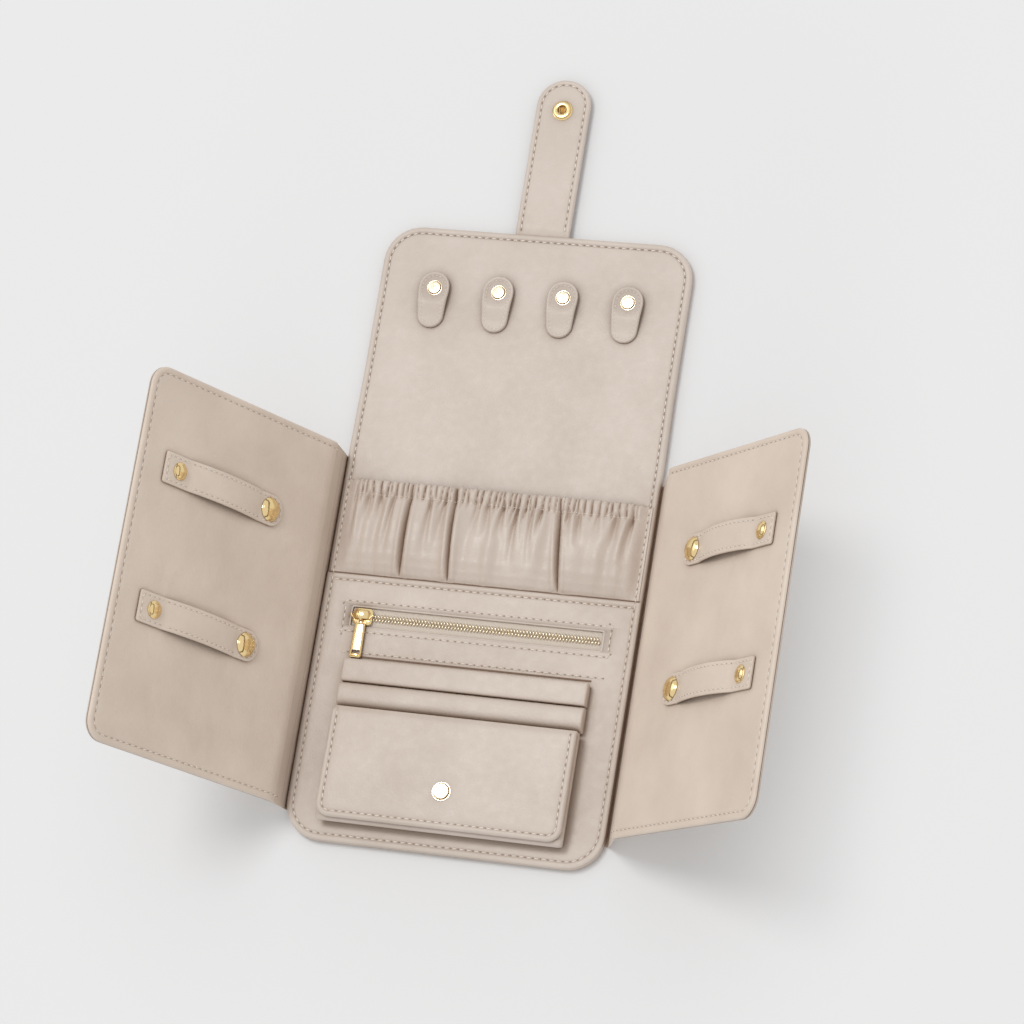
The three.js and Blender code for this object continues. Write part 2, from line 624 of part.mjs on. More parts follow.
// Fold strip and wing on one side; both turn about lines parallel to Y
function makeSide(prefix, side, strip, stripAngle, wingAngle) {
  const fold = new THREE.Group();
  fold.position.set(side * FOLD_X, 0, STRIP_MID);
  fold.rotation.y = -side * THREE.MathUtils.degToRad(stripAngle);
  const ends = [-STRIP_MID, strip + STRIP_MID];
  const [x0, x1] = side > 0 ? ends : [-ends[1], -ends[0]];
  const r = STRIP_MID;
  const section = panelShape(x0, x1, -r, r, [r, r, r, r]);
  const length = WING_HIGH - WING_LOW;
  const options = { depth: length, bevelEnabled: false, curveSegments: 3 };
  const piece = new THREE.ExtrudeGeometry(section, options);
  piece.rotateX(Math.PI / 2).translate(0, WING_HIGH, 0);
  fold.add(mesh(`${prefix}_gusset`, piece, outerLeather));
  const wing = makeWing(prefix, side);
  wing.position.x = side * strip;
  wing.rotation.y = side * THREE.MathUtils.degToRad(stripAngle - wingAngle);
  if (side > 0) {
    // Stud on the outer face, where the closing tab's socket comes to lie
    const under = STRIP_MID + GAP;
    const headLift = SHUT_FLAP - SHUT_RIGHT - WING_T - 2 * GAP;
    const postR = SOCKET_HOLE_R - STUD_PLAY;
    const closing = turned([
      [0, 0], [CLOSING_BASE_R, 0], [CLOSING_BASE_R, CLOSING_BASE_T], [postR, CLOSING_BASE_T],
      [postR, headLift - GAP], [postR - GAP, headLift], [0, headLift],
    ]);
    closing.rotateX(Math.PI).translate(FOLD_X, CLOSING_STUD_Y, -under);
    wing.add(mesh('closing_stud', closing, gold));
  }
  fold.add(wing);
  return fold;
}

function makeSpine() {
  // Cover strip with a pad on its inner side; the pad stops short of both folds so that they can close
  const half = BASE_W / 2;
  const pad = PANEL_T - STRIP_MID + SIDE_GAP;
  const points = [
    ...beadPoints(FLAP_FOLD_Y, STRIP_MID, STRIP_MID, -90),
    [FLAP_FOLD_Y - pad, LEATHER],
    [FLAP_FOLD_Y - pad, INNER],
    [FOLD_Y + pad, INNER],
    [FOLD_Y + pad, LEATHER],
    ...beadPoints(FOLD_Y, STRIP_MID, STRIP_MID, 90),
  ];
  return mesh('spine', alongX(points, -half, half), outerLeather);
}

function makeFlap() {
  const group = new THREE.Group();
  const half = FLAP_W / 2;
  const low = FLAP_FOLD_Y + FOLD_GAP;
  const outline = panelShape(-half, half, low, FLAP_TOP, FLAP_CORNERS);
  const liningZ = PANEL_T - LEATHER;
  group.add(mesh('flap_cover', layer(outline, 0, LEATHER), outerLeather));
  const inner = panelShape(-half + INSET, half - INSET, low + INSET, FLAP_TOP - INSET, FLAP_CORNERS);
  group.add(mesh('flap_board', layer(inner, LEATHER + GAP, liningZ - GAP), boardMaterial));
  group.add(mesh('flap_lining', layer(outline, liningZ, INNER), innerLeather));

  const studHeight = THIN + 3 * GAP;
  const tip = NECK_W / 2;
  for (let i = 0; i < NECK_XS.length; i++) {
    const name = `necklace_tab_${i + 1}`;
    const snap = new THREE.Group();
    snap.position.set(NECK_XS[i], NECK_TOP - tip, INNER + GAP);
    snap.add(mesh(`${name}_stud`, stud(STUD_R, studHeight), gold));
    // Straight sides, a round upper end and a lower end drawn in a little
    const low = NECK_HINGE - (NECK_TOP - tip);
    const narrow = NECK_LOW_W / 2;
    const shape = new THREE.Shape();
    shape.moveTo(-narrow, low);
    shape.lineTo(narrow, low);
    shape.lineTo(tip, low + NECK_TAPER);
    shape.lineTo(tip, 0);
    shape.absarc(0, 0, tip, 0, Math.PI, false);
    shape.lineTo(-tip, low + NECK_TAPER);
    shape.holes.push(circlePath(0, 0, STUD_R + STUD_PLAY));
    snap.add(mesh(name, layer(shape, 0, THIN), innerLeather));
    const head = cap(NECK_CAP_R, NECK_CAP_T, STUD_R + STUD_PLAY, studHeight - THIN);
    snap.add(mesh(`${name}_cap`, head.translate(0, 0, THIN + GAP), gold));
    group.add(snap);
  }

  // Closing tab with its socket on the inner face and its cap on the outer face
  const tabHalf = TAB_W / 2;
  const tab = panelShape(-tabHalf, tabHalf, TAB_FOLD_Y - TAB_T, TAB_TOP, [0, 0, tabHalf, tabHalf]);
  const side = alongX([
    [TAB_TOP, INNER - TAB_T], [TAB_TOP, INNER], ...beadPoints(TAB_FOLD_Y, TAB_MID, TAB_T / 2, 90),
  ], -tabHalf, tabHalf);
  const tabSolid = solid(side).intersect(solid(layer(tab, 0, 2 * PANEL_T, 8)));
  group.add(mesh('closing_tab', geometryOf(tabSolid), innerLeather));
  const ring = new THREE.Shape();
  ring.absarc(0, 0, SOCKET_R, 0, 2 * Math.PI, false);
  ring.holes.push(circlePath(0, 0, SOCKET_HOLE_R));
  const socket = layer(ring, INNER + GAP, INNER + GAP + SOCKET_T, 12).translate(0, SOCKET_Y, 0);
  group.add(mesh('closing_socket', socket, gold));
  const back = dome(SOCKET_R, TAB_CAP_T);
  back.rotateX(Math.PI).translate(0, SOCKET_Y, INNER - TAB_T - GAP);
  group.add(mesh('closing_cap', back, gold));
  return group;
}

const pouch = new THREE.Group();
const open = new THREE.Group();
open.position.y = -BASE_H / 2;
open.add(makeBase());
open.add(makeZip());
open.add(makeGatheredPocket());
open.add(makeRingBox());
open.add(makeSide('left', -1, LEFT_STRIP, LEFT_STRIP_ANGLE, LEFT_WING_ANGLE));
open.add(makeSide('right', 1, RIGHT_STRIP, RIGHT_STRIP_ANGLE, RIGHT_WING_ANGLE));
open.add(makeSpine());
open.add(makeFlap());
pouch.add(open);

export default pouch;
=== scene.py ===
import math
import random

import bmesh
import bpy
from mathutils import Matrix, Quaternion, Vector


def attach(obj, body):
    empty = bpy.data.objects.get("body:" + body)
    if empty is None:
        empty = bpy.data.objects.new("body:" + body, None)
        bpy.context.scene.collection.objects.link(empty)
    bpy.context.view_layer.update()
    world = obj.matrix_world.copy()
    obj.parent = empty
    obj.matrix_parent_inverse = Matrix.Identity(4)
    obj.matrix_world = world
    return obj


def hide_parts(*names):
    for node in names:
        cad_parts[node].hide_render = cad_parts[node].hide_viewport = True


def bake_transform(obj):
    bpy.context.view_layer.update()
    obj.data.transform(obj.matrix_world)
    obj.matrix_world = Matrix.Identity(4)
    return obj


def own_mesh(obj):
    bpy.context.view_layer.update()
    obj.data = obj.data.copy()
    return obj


# A fold-out travel jewelry pouch in soft beige leather, open on a white table top. Sizes are in millimetres
# and become metres where a mesh is made. Heights along the panels are counted from the centre panel's foot.
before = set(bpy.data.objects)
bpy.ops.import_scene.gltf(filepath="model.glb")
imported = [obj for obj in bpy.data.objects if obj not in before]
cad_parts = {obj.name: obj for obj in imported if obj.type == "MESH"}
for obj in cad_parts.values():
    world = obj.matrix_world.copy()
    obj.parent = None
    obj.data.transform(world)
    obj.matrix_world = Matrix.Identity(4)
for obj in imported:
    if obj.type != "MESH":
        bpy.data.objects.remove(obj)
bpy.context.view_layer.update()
scene = bpy.context.scene
MM = 0.001


# The studio: a white table top, an even white surround and one broad soft lamp high up on the left, so that
# shadows fall softly to the lower right. The camera is a long portrait lens about two metres away.
def linear(hex_colour):
    """An sRGB hex colour as the linear colour that shaders take."""
    parts = [int(hex_colour[i : i + 2], 16) / 255 for i in (1, 3, 5)]
    return (*(c / 12.92 if c <= 0.04045 else ((c + 0.055) / 1.055) ** 2.4 for c in parts), 1.0)


def add_node(tree, kind, inputs=None, **settings):
    """Adds a node, gives it its settings, and links or sets its inputs."""
    made = tree.nodes.new(kind)
    for key, value in settings.items():
        setattr(made, key, value)
    for key, value in (inputs or {}).items():
        if isinstance(value, bpy.types.NodeSocket):
            tree.links.new(value, made.inputs[key])
        else:
            made.inputs[key].default_value = value
    return made


def emptied(data):
    """The node tree of a material or world, switched on and cleared."""
    data.use_nodes = True
    data.node_tree.nodes.clear()
    return data.node_tree


def maths(tree, operation, a, b=0.0):
    """The result of one sum of two numbers or sockets."""
    return add_node(tree, "ShaderNodeMath", {0: a, 1: b}, operation=operation).outputs[0]


def seen_plainly(tree):
    """1 for what the camera sees, also by a mirror, and 0 for the light that falls on things."""
    rays = add_node(tree, "ShaderNodeLightPath").outputs
    mirrored = maths(tree, "MAXIMUM", rays["Is Glossy Ray"], rays["Is Transmission Ray"])
    return maths(tree, "MAXIMUM", rays["Is Camera Ray"], mirrored)


def add_object(name, data):
    made = bpy.data.objects.new(name, data)
    scene.collection.objects.link(made)
    return made


AIM = Vector((0.0097, 0.0860, 0.006))
DISTANCE = 2.305
AZIMUTH = math.radians(47.41)
ELEVATION = math.radians(68.71)
ROLL = math.radians(-40.0)

back = Vector((
    math.sin(AZIMUTH) * math.cos(ELEVATION),
    -math.cos(AZIMUTH) * math.cos(ELEVATION),
    math.sin(ELEVATION),
))
camera = add_object("camera", bpy.data.cameras.new("camera"))
camera.location = AIM + back * DISTANCE
camera.rotation_mode = "QUATERNION"
camera.rotation_quaternion = (-back).to_track_quat("-Z", "Y") @ Quaternion((0, 0, 1), ROLL)
camera.data.lens = 140.0
camera.data.sensor_width = 36.0
camera.data.clip_start = 0.05
camera.data.clip_end = 50.0
scene.camera = camera

TABLE_WHITE = linear("#EBEBEB")
SURROUND = 0.70
surround = bpy.data.worlds.new("studio surround")
scene.world = surround
tree = emptied(surround)
lit = add_node(tree, "ShaderNodeBackground", {"Color": (1, 1, 1, 1), "Strength": SURROUND})
shown = add_node(tree, "ShaderNodeBackground", {"Color": TABLE_WHITE, "Strength": 1.0})
both = add_node(
    tree, "ShaderNodeMixShader", {0: seen_plainly(tree), 1: lit.outputs[0], 2: shown.outputs[0]},
)
add_node(tree, "ShaderNodeOutputWorld", {"Surface": both.outputs[0]})


def disk_lamp(name, watts, size, place):
    """A round soft lamp that points at the pouch."""
    made = add_object(name, bpy.data.lights.new(name, "AREA"))
    made.data.shape = "DISK"
    made.data.size = size
    made.data.energy = watts
    made.location = place
    made.rotation_mode = "QUATERNION"
    made.rotation_quaternion = (AIM - place).to_track_quat("-Z", "Y")
    return made


disk_lamp("soft lamp", watts=50.5, size=1.3, place=Vector((-0.75, 0.8, 4.05)))
# A white softbox on the left shows only as the pale highlight on the gold and along the edges
softbox = disk_lamp("softbox", watts=5.0, size=1.5, place=Vector((-1.35, 0.5, 1.6)))
softbox.visible_diffuse = False


def new_material(name):
    """A material, its empty node tree, and the place on the object that its patterns follow."""
    made = bpy.data.materials.new(name)
    tree = emptied(made)
    return made, tree, add_node(tree, "ShaderNodeTexCoord").outputs["Object"]


def noise(tree, spot, scale, detail, **more):
    """Cloudy noise: a scale of 1000 gives patches of 1 mm."""
    inputs = {"Vector": spot, "Scale": scale, "Detail": detail, **more}
    return add_node(tree, "ShaderNodeTexNoise", inputs).outputs["Fac"]


def mapped(tree, value, low, high, new_low=0.0, new_high=1.0, **settings):
    """Stretches the values between low and high over a new range."""
    inputs = {"Value": value, "From Min": low, "From Max": high, "To Min": new_low, "To Max": new_high}
    return add_node(tree, "ShaderNodeMapRange", inputs, **settings).outputs[0]


def mixed(tree, share, first, second):
    """Blends two colours, each given as a hex colour or by a socket."""
    first, second = (linear(c) if isinstance(c, str) else c for c in (first, second))
    inputs = {"Fac": share, "Color1": first, "Color2": second}
    return add_node(tree, "ShaderNodeMixRGB", inputs).outputs[0]


def bump(tree, height, depth, under=None):
    """Relief of a depth in metres, on top of another relief."""
    inputs = {"Height": height, "Distance": depth}
    if under is not None:
        inputs["Normal"] = under
    return add_node(tree, "ShaderNodeBump", inputs).outputs[0]


def surface(tree, colour, roughness, relief, more=None):
    """A Principled shader."""
    inputs = {"Base Color": colour, "Roughness": roughness, "Normal": relief, **(more or {})}
    return add_node(tree, "ShaderNodeBsdfPrincipled", inputs).outputs[0]


def end_material(tree, shader):
    add_node(tree, "ShaderNodeOutputMaterial", {"Surface": shader})


def circle(count):
    """Cosine and sine of directions that are spread evenly over a full turn."""
    return [(math.cos(2 * math.pi * i / count), math.sin(2 * math.pi * i / count)) for i in range(count)]


# A matt brown band stands round the table, out of the picture. It gives the polished gold its dark streaks
brown_felt, tree, spot = new_material("matt_brown_felt")
nap = bump(tree, noise(tree, spot, 300.0, 2.0), 0.0001)
end_material(tree, surface(tree, linear("#6A5238"), 0.95, nap))
BAND_OUT, BAND_LOW, BAND_HIGH, BAND_PARTS = 2.0, 0.46, 0.84, 32
sheet = bpy.data.meshes.new("black_band")
sheet.from_pydata(
    [(BAND_OUT * c, BAND_OUT * s, z) for z in (BAND_LOW, BAND_HIGH) for c, s in circle(BAND_PARTS)], [],
    [(k, (k + 1) % BAND_PARTS, (k + 1) % BAND_PARTS + BAND_PARTS, k + BAND_PARTS)
     for k in range(BAND_PARTS)],
)
sheet.materials.append(brown_felt)
black_band = add_object("black_band", sheet)
black_band.visible_camera = False
black_band.visible_diffuse = False
black_band.visible_shadow = False

# Matt painted table top: it spreads light evenly and shows only the soft shadow. The shading shows in full
# beside the pouch and gives way to white card further out, as in a light tent
SHADOW_NEAR, SHADOW_FAR = 0.95, 0.15  # share of the table's shading that the camera sees
SHADOW_FADE = (0.03, 0.165)  # metres from the pouch's outline
POUCH_MIDDLE, POUCH_HALF = (0.0, 0.11, 0.0), (0.10, 0.23, 0.001)
table_paint, tree, spot = new_material("matt_table_paint")
nap = bump(tree, noise(tree, spot, 900.0, 2.0), 0.00002)
paint = surface(tree, TABLE_WHITE, 0.95, nap, {"Specular IOR Level": 0.1})
card = add_node(tree, "ShaderNodeEmission", {"Color": TABLE_WHITE, "Strength": 1.0})
away = spot
for operation, *amount in (
    ("SUBTRACT", POUCH_MIDDLE), ("ABSOLUTE",), ("SUBTRACT", POUCH_HALF), ("MAXIMUM", (0.0, 0.0, 0.0)),
):
    inputs = dict(enumerate([away, *amount]))
    away = add_node(tree, "ShaderNodeVectorMath", inputs, operation=operation).outputs[0]
away = add_node(tree, "ShaderNodeVectorMath", {0: away}, operation="LENGTH").outputs["Value"]
white = mapped(
    tree, away, *SHADOW_FADE, 1 - SHADOW_NEAR, 1 - SHADOW_FAR, interpolation_type="SMOOTHSTEP",
)
plain = maths(tree, "MULTIPLY", seen_plainly(tree), white)
seen = add_node(tree, "ShaderNodeMixShader", {0: plain, 1: paint, 2: card.outputs[0]})
end_material(tree, seen.outputs[0])
SIDE = 6.0
TABLE_Z = -0.0003
table = bpy.data.meshes.new("table_top")
table.from_pydata(
    [(-SIDE, -SIDE, TABLE_Z), (SIDE, -SIDE, TABLE_Z), (SIDE, SIDE, TABLE_Z), (-SIDE, SIDE, TABLE_Z)],
    [], [(0, 1, 2, 3)],
)
table.materials.append(table_paint)
table_top = add_object("table_top", table)
scene.view_settings.view_transform = "Standard"


# Centre panel: a stiff board between a quilted outer cover and a smooth lining. Both leathers are turned in
# at the edge and sewn to each other all round. The lining runs on over the spine without a seam.
# Painted shade in every leather: within this reach of what stands near it, its colour darkens towards its
# corner colour
PAINTED_SHADE_REACH = 0.0065  # metres
PAINTED_SHADE_DEEP, PAINTED_SHADE_FREE = 0.2, 0.95  # open share of the sky over a deep corner and over a free face


def leather(name, light, dark, waves=0.9, shine=(0.36, 0.5), corner="#927B69"):
    """Smooth split leather with a fine grain: soft cloudy light, small pores, a satin finish and painted
    shade of the corner colour in its corners.
    """
    made, tree, spot = new_material(name)
    # Hide is never one even colour: patches 30 to 60 mm across, a few per cent lighter or darker
    patch = mapped(tree, noise(tree, spot, 22.0, 4.0), 0.32, 0.68)
    # Pores are 0.3 mm in real grain, drawn 1.3 mm so that they show from two metres
    pores = add_node(
        tree, "ShaderNodeTexVoronoi", {"Vector": spot, "Scale": 760.0, "Randomness": 1.0},
    )
    # Finger-wide slack in the leather over its board, and creases 5 mm wide
    slack = noise(tree, spot, 38.0, 1.5, Distortion=0.6)
    fine = noise(tree, spot, 210.0, 3.0)
    # Painted shade: within a few millimetres of whatever stands on the leather, its colour darkens towards
    # the corner colour, as deep as ambient occlusion finds the corner
    shade_sky = add_node(tree, "ShaderNodeAmbientOcclusion", {"Distance": PAINTED_SHADE_REACH}, samples=6)
    clear = mapped(tree, shade_sky.outputs["AO"], PAINTED_SHADE_DEEP, PAINTED_SHADE_FREE)
    tint = mixed(tree, clear, corner, mixed(tree, patch, dark, light))
    relief = bump(tree, slack, waves * MM)
    relief = bump(tree, fine, 0.00012, relief)
    relief = bump(tree, pores.outputs["Distance"], 0.00007, relief)
    gloss = mapped(tree, fine, 0.3, 0.7, *shine)
    end_material(tree, surface(tree, tint, gloss, relief, {"Specular IOR Level": 0.42, "IOR": 1.45}))
    return made


LINING_LIGHT, LINING_DARK = "#D6C9BE", "#CBBDB1"
COVER_LIGHT, COVER_DARK = "#CFC1B5", "#C1B2A5"
# Each leather's corner colour is its painted shade, the colour that its corners darken to
lining_leather = leather("beige_lining_leather", LINING_LIGHT, LINING_DARK)
cover_leather = leather("beige_cover_leather", COVER_LIGHT, COVER_DARK, corner="#A08A78")
# The wings and straps take the lining leather painted lighter and warmer: painted light, for the brighter
# light on the wings and the light that they throw on each other
wing_leather_painted_lighter = leather("beige_wing_lining_leather", "#E4D5C6", "#D8C8B9")
# The fold strips take the wing lining leather painted a little darker: painted shade for the fold that they
# stand in
strip_leather_painted_darker = leather("beige_fold_strip_leather_painted_darker", "#DDCDBF", "#D0C0B1", corner="#B39E8C")

BASE_HALF = 95.0
CORNER = 22.0  # radius
SPINE_LOW = 237.0
SPINE_HIGH = 282.6
SPINE_MID = (SPINE_LOW + SPINE_HIGH) / 2
FLAP_HALF = 94.3
INNER = 6.0  # face of the lining
LOWER_FACE = 6.8  # face of the lower panel
SEAM_IN = 4.2
Y_SHIFT = 118.0  # the shared frame starts at the middle of the centre panel


def on_table(across, along, height):
    """A point of the flat panels, in the shared frame."""
    return Vector((across, along - Y_SHIFT, height)) * MM


def outline(half, near, far, near_r=0.0, far_r=0.0, step=4.0, near_open=False, far_open=False):
    """Half widths and distances down a panel that is alike on both sides of its middle line."""
    def at(inset):
        low = near + (0 if near_open else inset)
        high = far - (0 if far_open else inset)
        low_r = max(near_r - inset, 0.05) if near_r else 0.0
        high_r = max(far_r - inset, 0.05) if far_r else 0.0
        width = half if callable(half) else lambda along: half
        points = []
        for radius, end, turn, full in ((low_r, low, -1, near_r), (high_r, high, 1, far_r)):
            arc = []
            if radius:
                reach = width(end) - inset - radius
                start = 90 if reach > 0.5 else 82
                bends = 4 if full < 3 else 9
                for i in range(bends + 1):
                    a = math.radians(start * (1 - i / bends))
                    arc.append((
                        max(reach, 0) + radius * math.cos(a),
                        end - turn * radius * (1 - math.sin(a)),
                    ))
            else:
                arc.append((width(end) - inset, end))
            points.append(arc)
        first, last = points[0][-1][1], points[1][-1][1]
        count = max(2, round((far - near) / step))
        sides = []
        for i in range(1, count):
            along = first + (last - first) * i / count
            sides.append((width(along) - inset, along))
        return points[0] + sides + points[1][::-1]
    at.open_ends = near_open, far_open
    return at


def make(name, shape, material, sharp=38):
    """Closes a bmesh into a smooth-shaded object at the origin, faces outwards."""
    bmesh.ops.remove_doubles(shape, verts=shape.verts, dist=1e-6)
    bmesh.ops.recalc_face_normals(shape, faces=shape.faces)
    data = bpy.data.meshes.new(name)
    shape.to_mesh(data)
    shape.free()
    data.polygons.foreach_set("use_smooth", [True] * len(data.polygons))
    data.set_sharp_from_angle(angle=math.radians(sharp))
    data.materials.append(material)
    return add_object(name, data)


def leaf(name, edge, rings, place, material, cols=1, hollow=False):
    """A closed sheet of leather, or a frame if hollow, from rings (inset, height) round its edge."""
    shape = bmesh.new()
    count = len(edge(0.0))
    loops = []
    for inset, height in rings:
        stations = edge(inset)
        (w0, v0), (w1, v1) = stations[0], stations[-1]
        row = [((2 * i / cols - 1) * w0, v0) for i in range(cols + 1)]
        row += stations[1:-1]
        row += [((1 - 2 * i / cols) * w1, v1) for i in range(cols + 1)]
        row += [(-w, v) for w, v in reversed(stations[1:-1])]
        loops.append([shape.verts.new(place(u, v, height)) for u, v in row])
    total = len(loops[0])
    ends = [(0, edge.open_ends[0]), (cols + count - 1, edge.open_ends[1])]
    cut_off = {first + i for first, is_open in ends if is_open for i in range(cols)}
    pairs = list(zip(loops, loops[1:])) + ([(loops[-1], loops[0])] if hollow else [])
    for low, high in pairs:
        for i in range(total):
            j = (i + 1) % total
            if i not in cut_off:
                shape.faces.new((low[i], low[j], high[j], high[i]))
    for first, is_open in ends:
        if is_open:  # the end is closed by one flat face that follows the profile of the edge
            shape.faces.new(
                loops[0][first : first + cols + 1] + [loop[first + cols] for loop in loops[1:-1]]
                + loops[-1][first : first + cols + 1][::-1] + [loop[first] for loop in loops[-2:0:-1]]
            )
            spare = [v for loop in loops[1:-1] for v in loop[first + 1 : first + cols]]
            bmesh.ops.delete(shape, geom=spare, context="VERTS")
    for loop, (inset, height) in () if hollow else ((loops[0], rings[0]), (loops[-1], rings[-1])):
        stations = edge(inset)
        rows = [loop[: cols + 1]]
        for k in range(1, count - 1):
            w, v = stations[k]
            middle = [
                shape.verts.new(place((2 * i / cols - 1) * w, v, height)) for i in range(1, cols)
            ]
            rows.append([loop[total - k], *middle, loop[cols + k]])
        rows.append(loop[cols + count - 1 : 2 * cols + count][::-1])
        for a, b in zip(rows, rows[1:]):
            for i in range(cols):
                shape.faces.new((a[i], a[i + 1], b[i + 1], b[i]))
    return make(name, shape, material)


def turned_edge(under, seam, top, groove=SEAM_IN, wall=1.2, puff=0.35):
    """Rings of a leather that is turned in at the edge: from its inside, over the edge, to its face.

    The seam draws the leather down, and it stands up in a soft roll between the seam and the edge.
    """
    way = 1 if top > seam else -1
    roll = way * puff
    span = abs(top - seam)
    return [
        (wall + 0.2, under), (wall, seam), (0.5, seam), (0.06, seam + way * span * 0.16),
        (0.0, seam + way * span * 0.42), (0.16, seam + way * span * 0.7),
        (0.55, top - way * 0.2), (1.2, top + roll * 0.6), (2.0, top + roll), (2.8, top + roll * 0.7),
        (groove - 0.6, top - roll * 0.3), (groove, top - way * 0.38), (groove + 0.7, top - roll * 0.35),
        (groove + 1.8, top), (groove + 4.0, top),
    ]


def seam_path(edge, inset, height, place, closing):
    """The line that a row of stitches follows: open at one end of the panel, or right round it."""
    stations = edge(inset)
    right = list(stations)
    left = [(-w, v) for w, v in reversed(stations)]
    path = {"far": right + left, "near": left + right, "both": right + left + right[:1]}[closing]
    level = height if callable(height) else lambda along: height
    return [place(u, v, level(v)) for u, v in path]


def plain_fibre(name, light, dark, roughness, scale):
    """Thread, board, or the dark of painted shade in needle holes and along edges: fine even fibres in two
    tones.
    """
    made, tree, spot = new_material(name)
    twist = noise(tree, spot, scale, 2.0)
    relief = bump(tree, twist, 0.0001)
    tint = mixed(tree, twist, dark, light)
    end_material(tree, surface(tree, tint, roughness, relief, {"Specular IOR Level": 0.35}))
    return made


# Bonded polyester sewing thread, lighter than the leather, twisted and slightly shiny
thread = plain_fibre("polyester_thread", "#F3EAE1", "#E6DACE", 0.5, 1500.0)
# Needle holes: small dark beads between the stitches, painted shade in the holes
needle_hole_shade = plain_fibre("shaded_needle_hole", "#B7A493", "#A69383", 0.9, 1500.0)


def new_group(name, *numbers, whole=()):
    """A Geometry Nodes tree that takes a mesh, named numbers and a material, and gives a mesh."""
    tree = bpy.data.node_groups.new(name, "GeometryNodeTree")
    kinds = [("Geometry", "Geometry"), *((label, "Float") for label in numbers)]
    kinds += [*((label, "Int") for label in whole), ("Material", "Material")]
    for label, kind in kinds:
        tree.interface.new_socket(label, in_out="INPUT", socket_type=f"NodeSocket{kind}")
    tree.interface.new_socket("Geometry", in_out="OUTPUT", socket_type="NodeSocketGeometry")
    return tree, add_node(tree, "NodeGroupInput").outputs


def end_group(tree, given, geometry):
    real = add_node(tree, "GeometryNodeRealizeInstances", {"Geometry": geometry})
    done = add_node(
        tree, "GeometryNodeSetMaterial", {"Geometry": real.outputs[0], "Material": given["Material"]},
    )
    add_node(tree, "NodeGroupOutput", {"Geometry": done.outputs[0]})
    return tree


def beads(tree, given, offset, rotation, stretch, **parts):
    """One stretched bead at each pitch along the edge lines of the given mesh."""
    line = add_node(tree, "GeometryNodeMeshToCurve", {"Mesh": given["Geometry"]})
    points = add_node(tree, "GeometryNodeResampleCurve", {"Curve": line.outputs[0]}, mode="LENGTH")
    tree.links.new(given["Pitch"], points.inputs["Length"])
    moved = add_node(
        tree, "GeometryNodeSetPosition", {"Geometry": points.outputs[0], "Offset": offset.outputs[0]},
    )
    bead = add_node(tree, "GeometryNodeMeshUVSphere", {**parts, "Radius": 0.5})
    size = add_node(tree, "ShaderNodeCombineXYZ", dict(zip("XYZ", (given[part] for part in stretch))))
    row = add_node(
        tree, "GeometryNodeInstanceOnPoints",
        {
            "Points": moved.outputs[0], "Instance": bead.outputs[0],
            "Rotation": rotation.outputs[0], "Scale": size.outputs[0],
        },
    )
    return end_group(tree, given, row.outputs[0])


def sewing_tree():
    """Geometry Nodes: one small bead per stitch along every edge line of the mesh."""
    tree, given = new_group(
        "row_of_stitches", "Pitch", "Length", "Thickness", "Shift", "Slant", whole=["Seed"],
    )
    along = add_node(tree, "GeometryNodeInputTangent").outputs[0]
    ahead = add_node(tree, "ShaderNodeVectorMath", {0: along}, operation="SCALE")
    tree.links.new(given["Shift"], ahead.inputs["Scale"])
    level = add_node(tree, "FunctionNodeAlignRotationToVector", {"Vector": along}, axis="X")
    slant = add_node(
        tree, "FunctionNodeRandomValue", {"Seed": given["Seed"], 2: 0.5, 3: 1.2}, data_type="FLOAT",
    )
    angle = maths(tree, "MULTIPLY", slant.outputs[1], given["Slant"])
    skew = add_node(tree, "FunctionNodeAxisAngleToRotation", {"Angle": angle, "Axis": (0, 0, 1)})
    laid = add_node(
        tree, "FunctionNodeRotateRotation",
        {"Rotation": level.outputs[0], "Rotate By": skew.outputs[0]}, rotation_space="LOCAL",
    )
    return beads(tree, given, ahead, laid, ("Length", "Thickness", "Thickness"), Segments=6, Rings=4)


stitch_row = sewing_tree()


def grown(mesh, tree, values):
    """The mesh that a Geometry Nodes tree makes of another mesh."""
    holder = add_object("holder", mesh)
    modifier = holder.modifiers.new("tree", "NODES")
    modifier.node_group = tree
    for item in tree.interface.items_tree:
        if item.item_type == "SOCKET" and item.in_out == "INPUT" and item.name in values:
            modifier[item.identifier] = values[item.name]
    graph = bpy.context.evaluated_depsgraph_get()
    result = bpy.data.meshes.new_from_object(holder.evaluated_get(graph), depsgraph=graph)
    bpy.data.objects.remove(holder)
    return result


def sew(name, paths, pitch=4.4, length=3.1, thickness=0.9, hole=1.05):
    """Stitches along each path, as one object, with dark beads of painted shade for the needle holes, of
    this share of their thickness.
    """
    shape = bmesh.new()
    for path in paths:
        verts = [shape.verts.new(p) for p in path]
        for a, b in zip(verts, verts[1:]):
            if (a.co - b.co).length > 1e-6:
                shape.edges.new((a, b))
    lines = bpy.data.meshes.new("lines")
    shape.to_mesh(lines)
    shape.free()
    joined = bmesh.new()
    data = bpy.data.meshes.new(name)
    for slot, (shift, long, thick, material) in enumerate((
        (0.0, length, thickness, thread), (pitch / 2, 1.15, thickness * hole, needle_hole_shade),
    )):
        data.materials.append(material)
        if thick == 0:
            continue
        part = grown(lines, stitch_row, {
            "Pitch": pitch * MM, "Length": long * MM, "Thickness": thick * MM,
            "Shift": shift * MM, "Slant": 0.12, "Seed": len(paths), "Material": material,
        })
        part.polygons.foreach_set("material_index", [slot] * len(part.polygons))
        joined.from_mesh(part)
    joined.to_mesh(data)
    joined.free()
    data.polygons.foreach_set("use_smooth", [True] * len(data.polygons))
    return add_object(name, data)


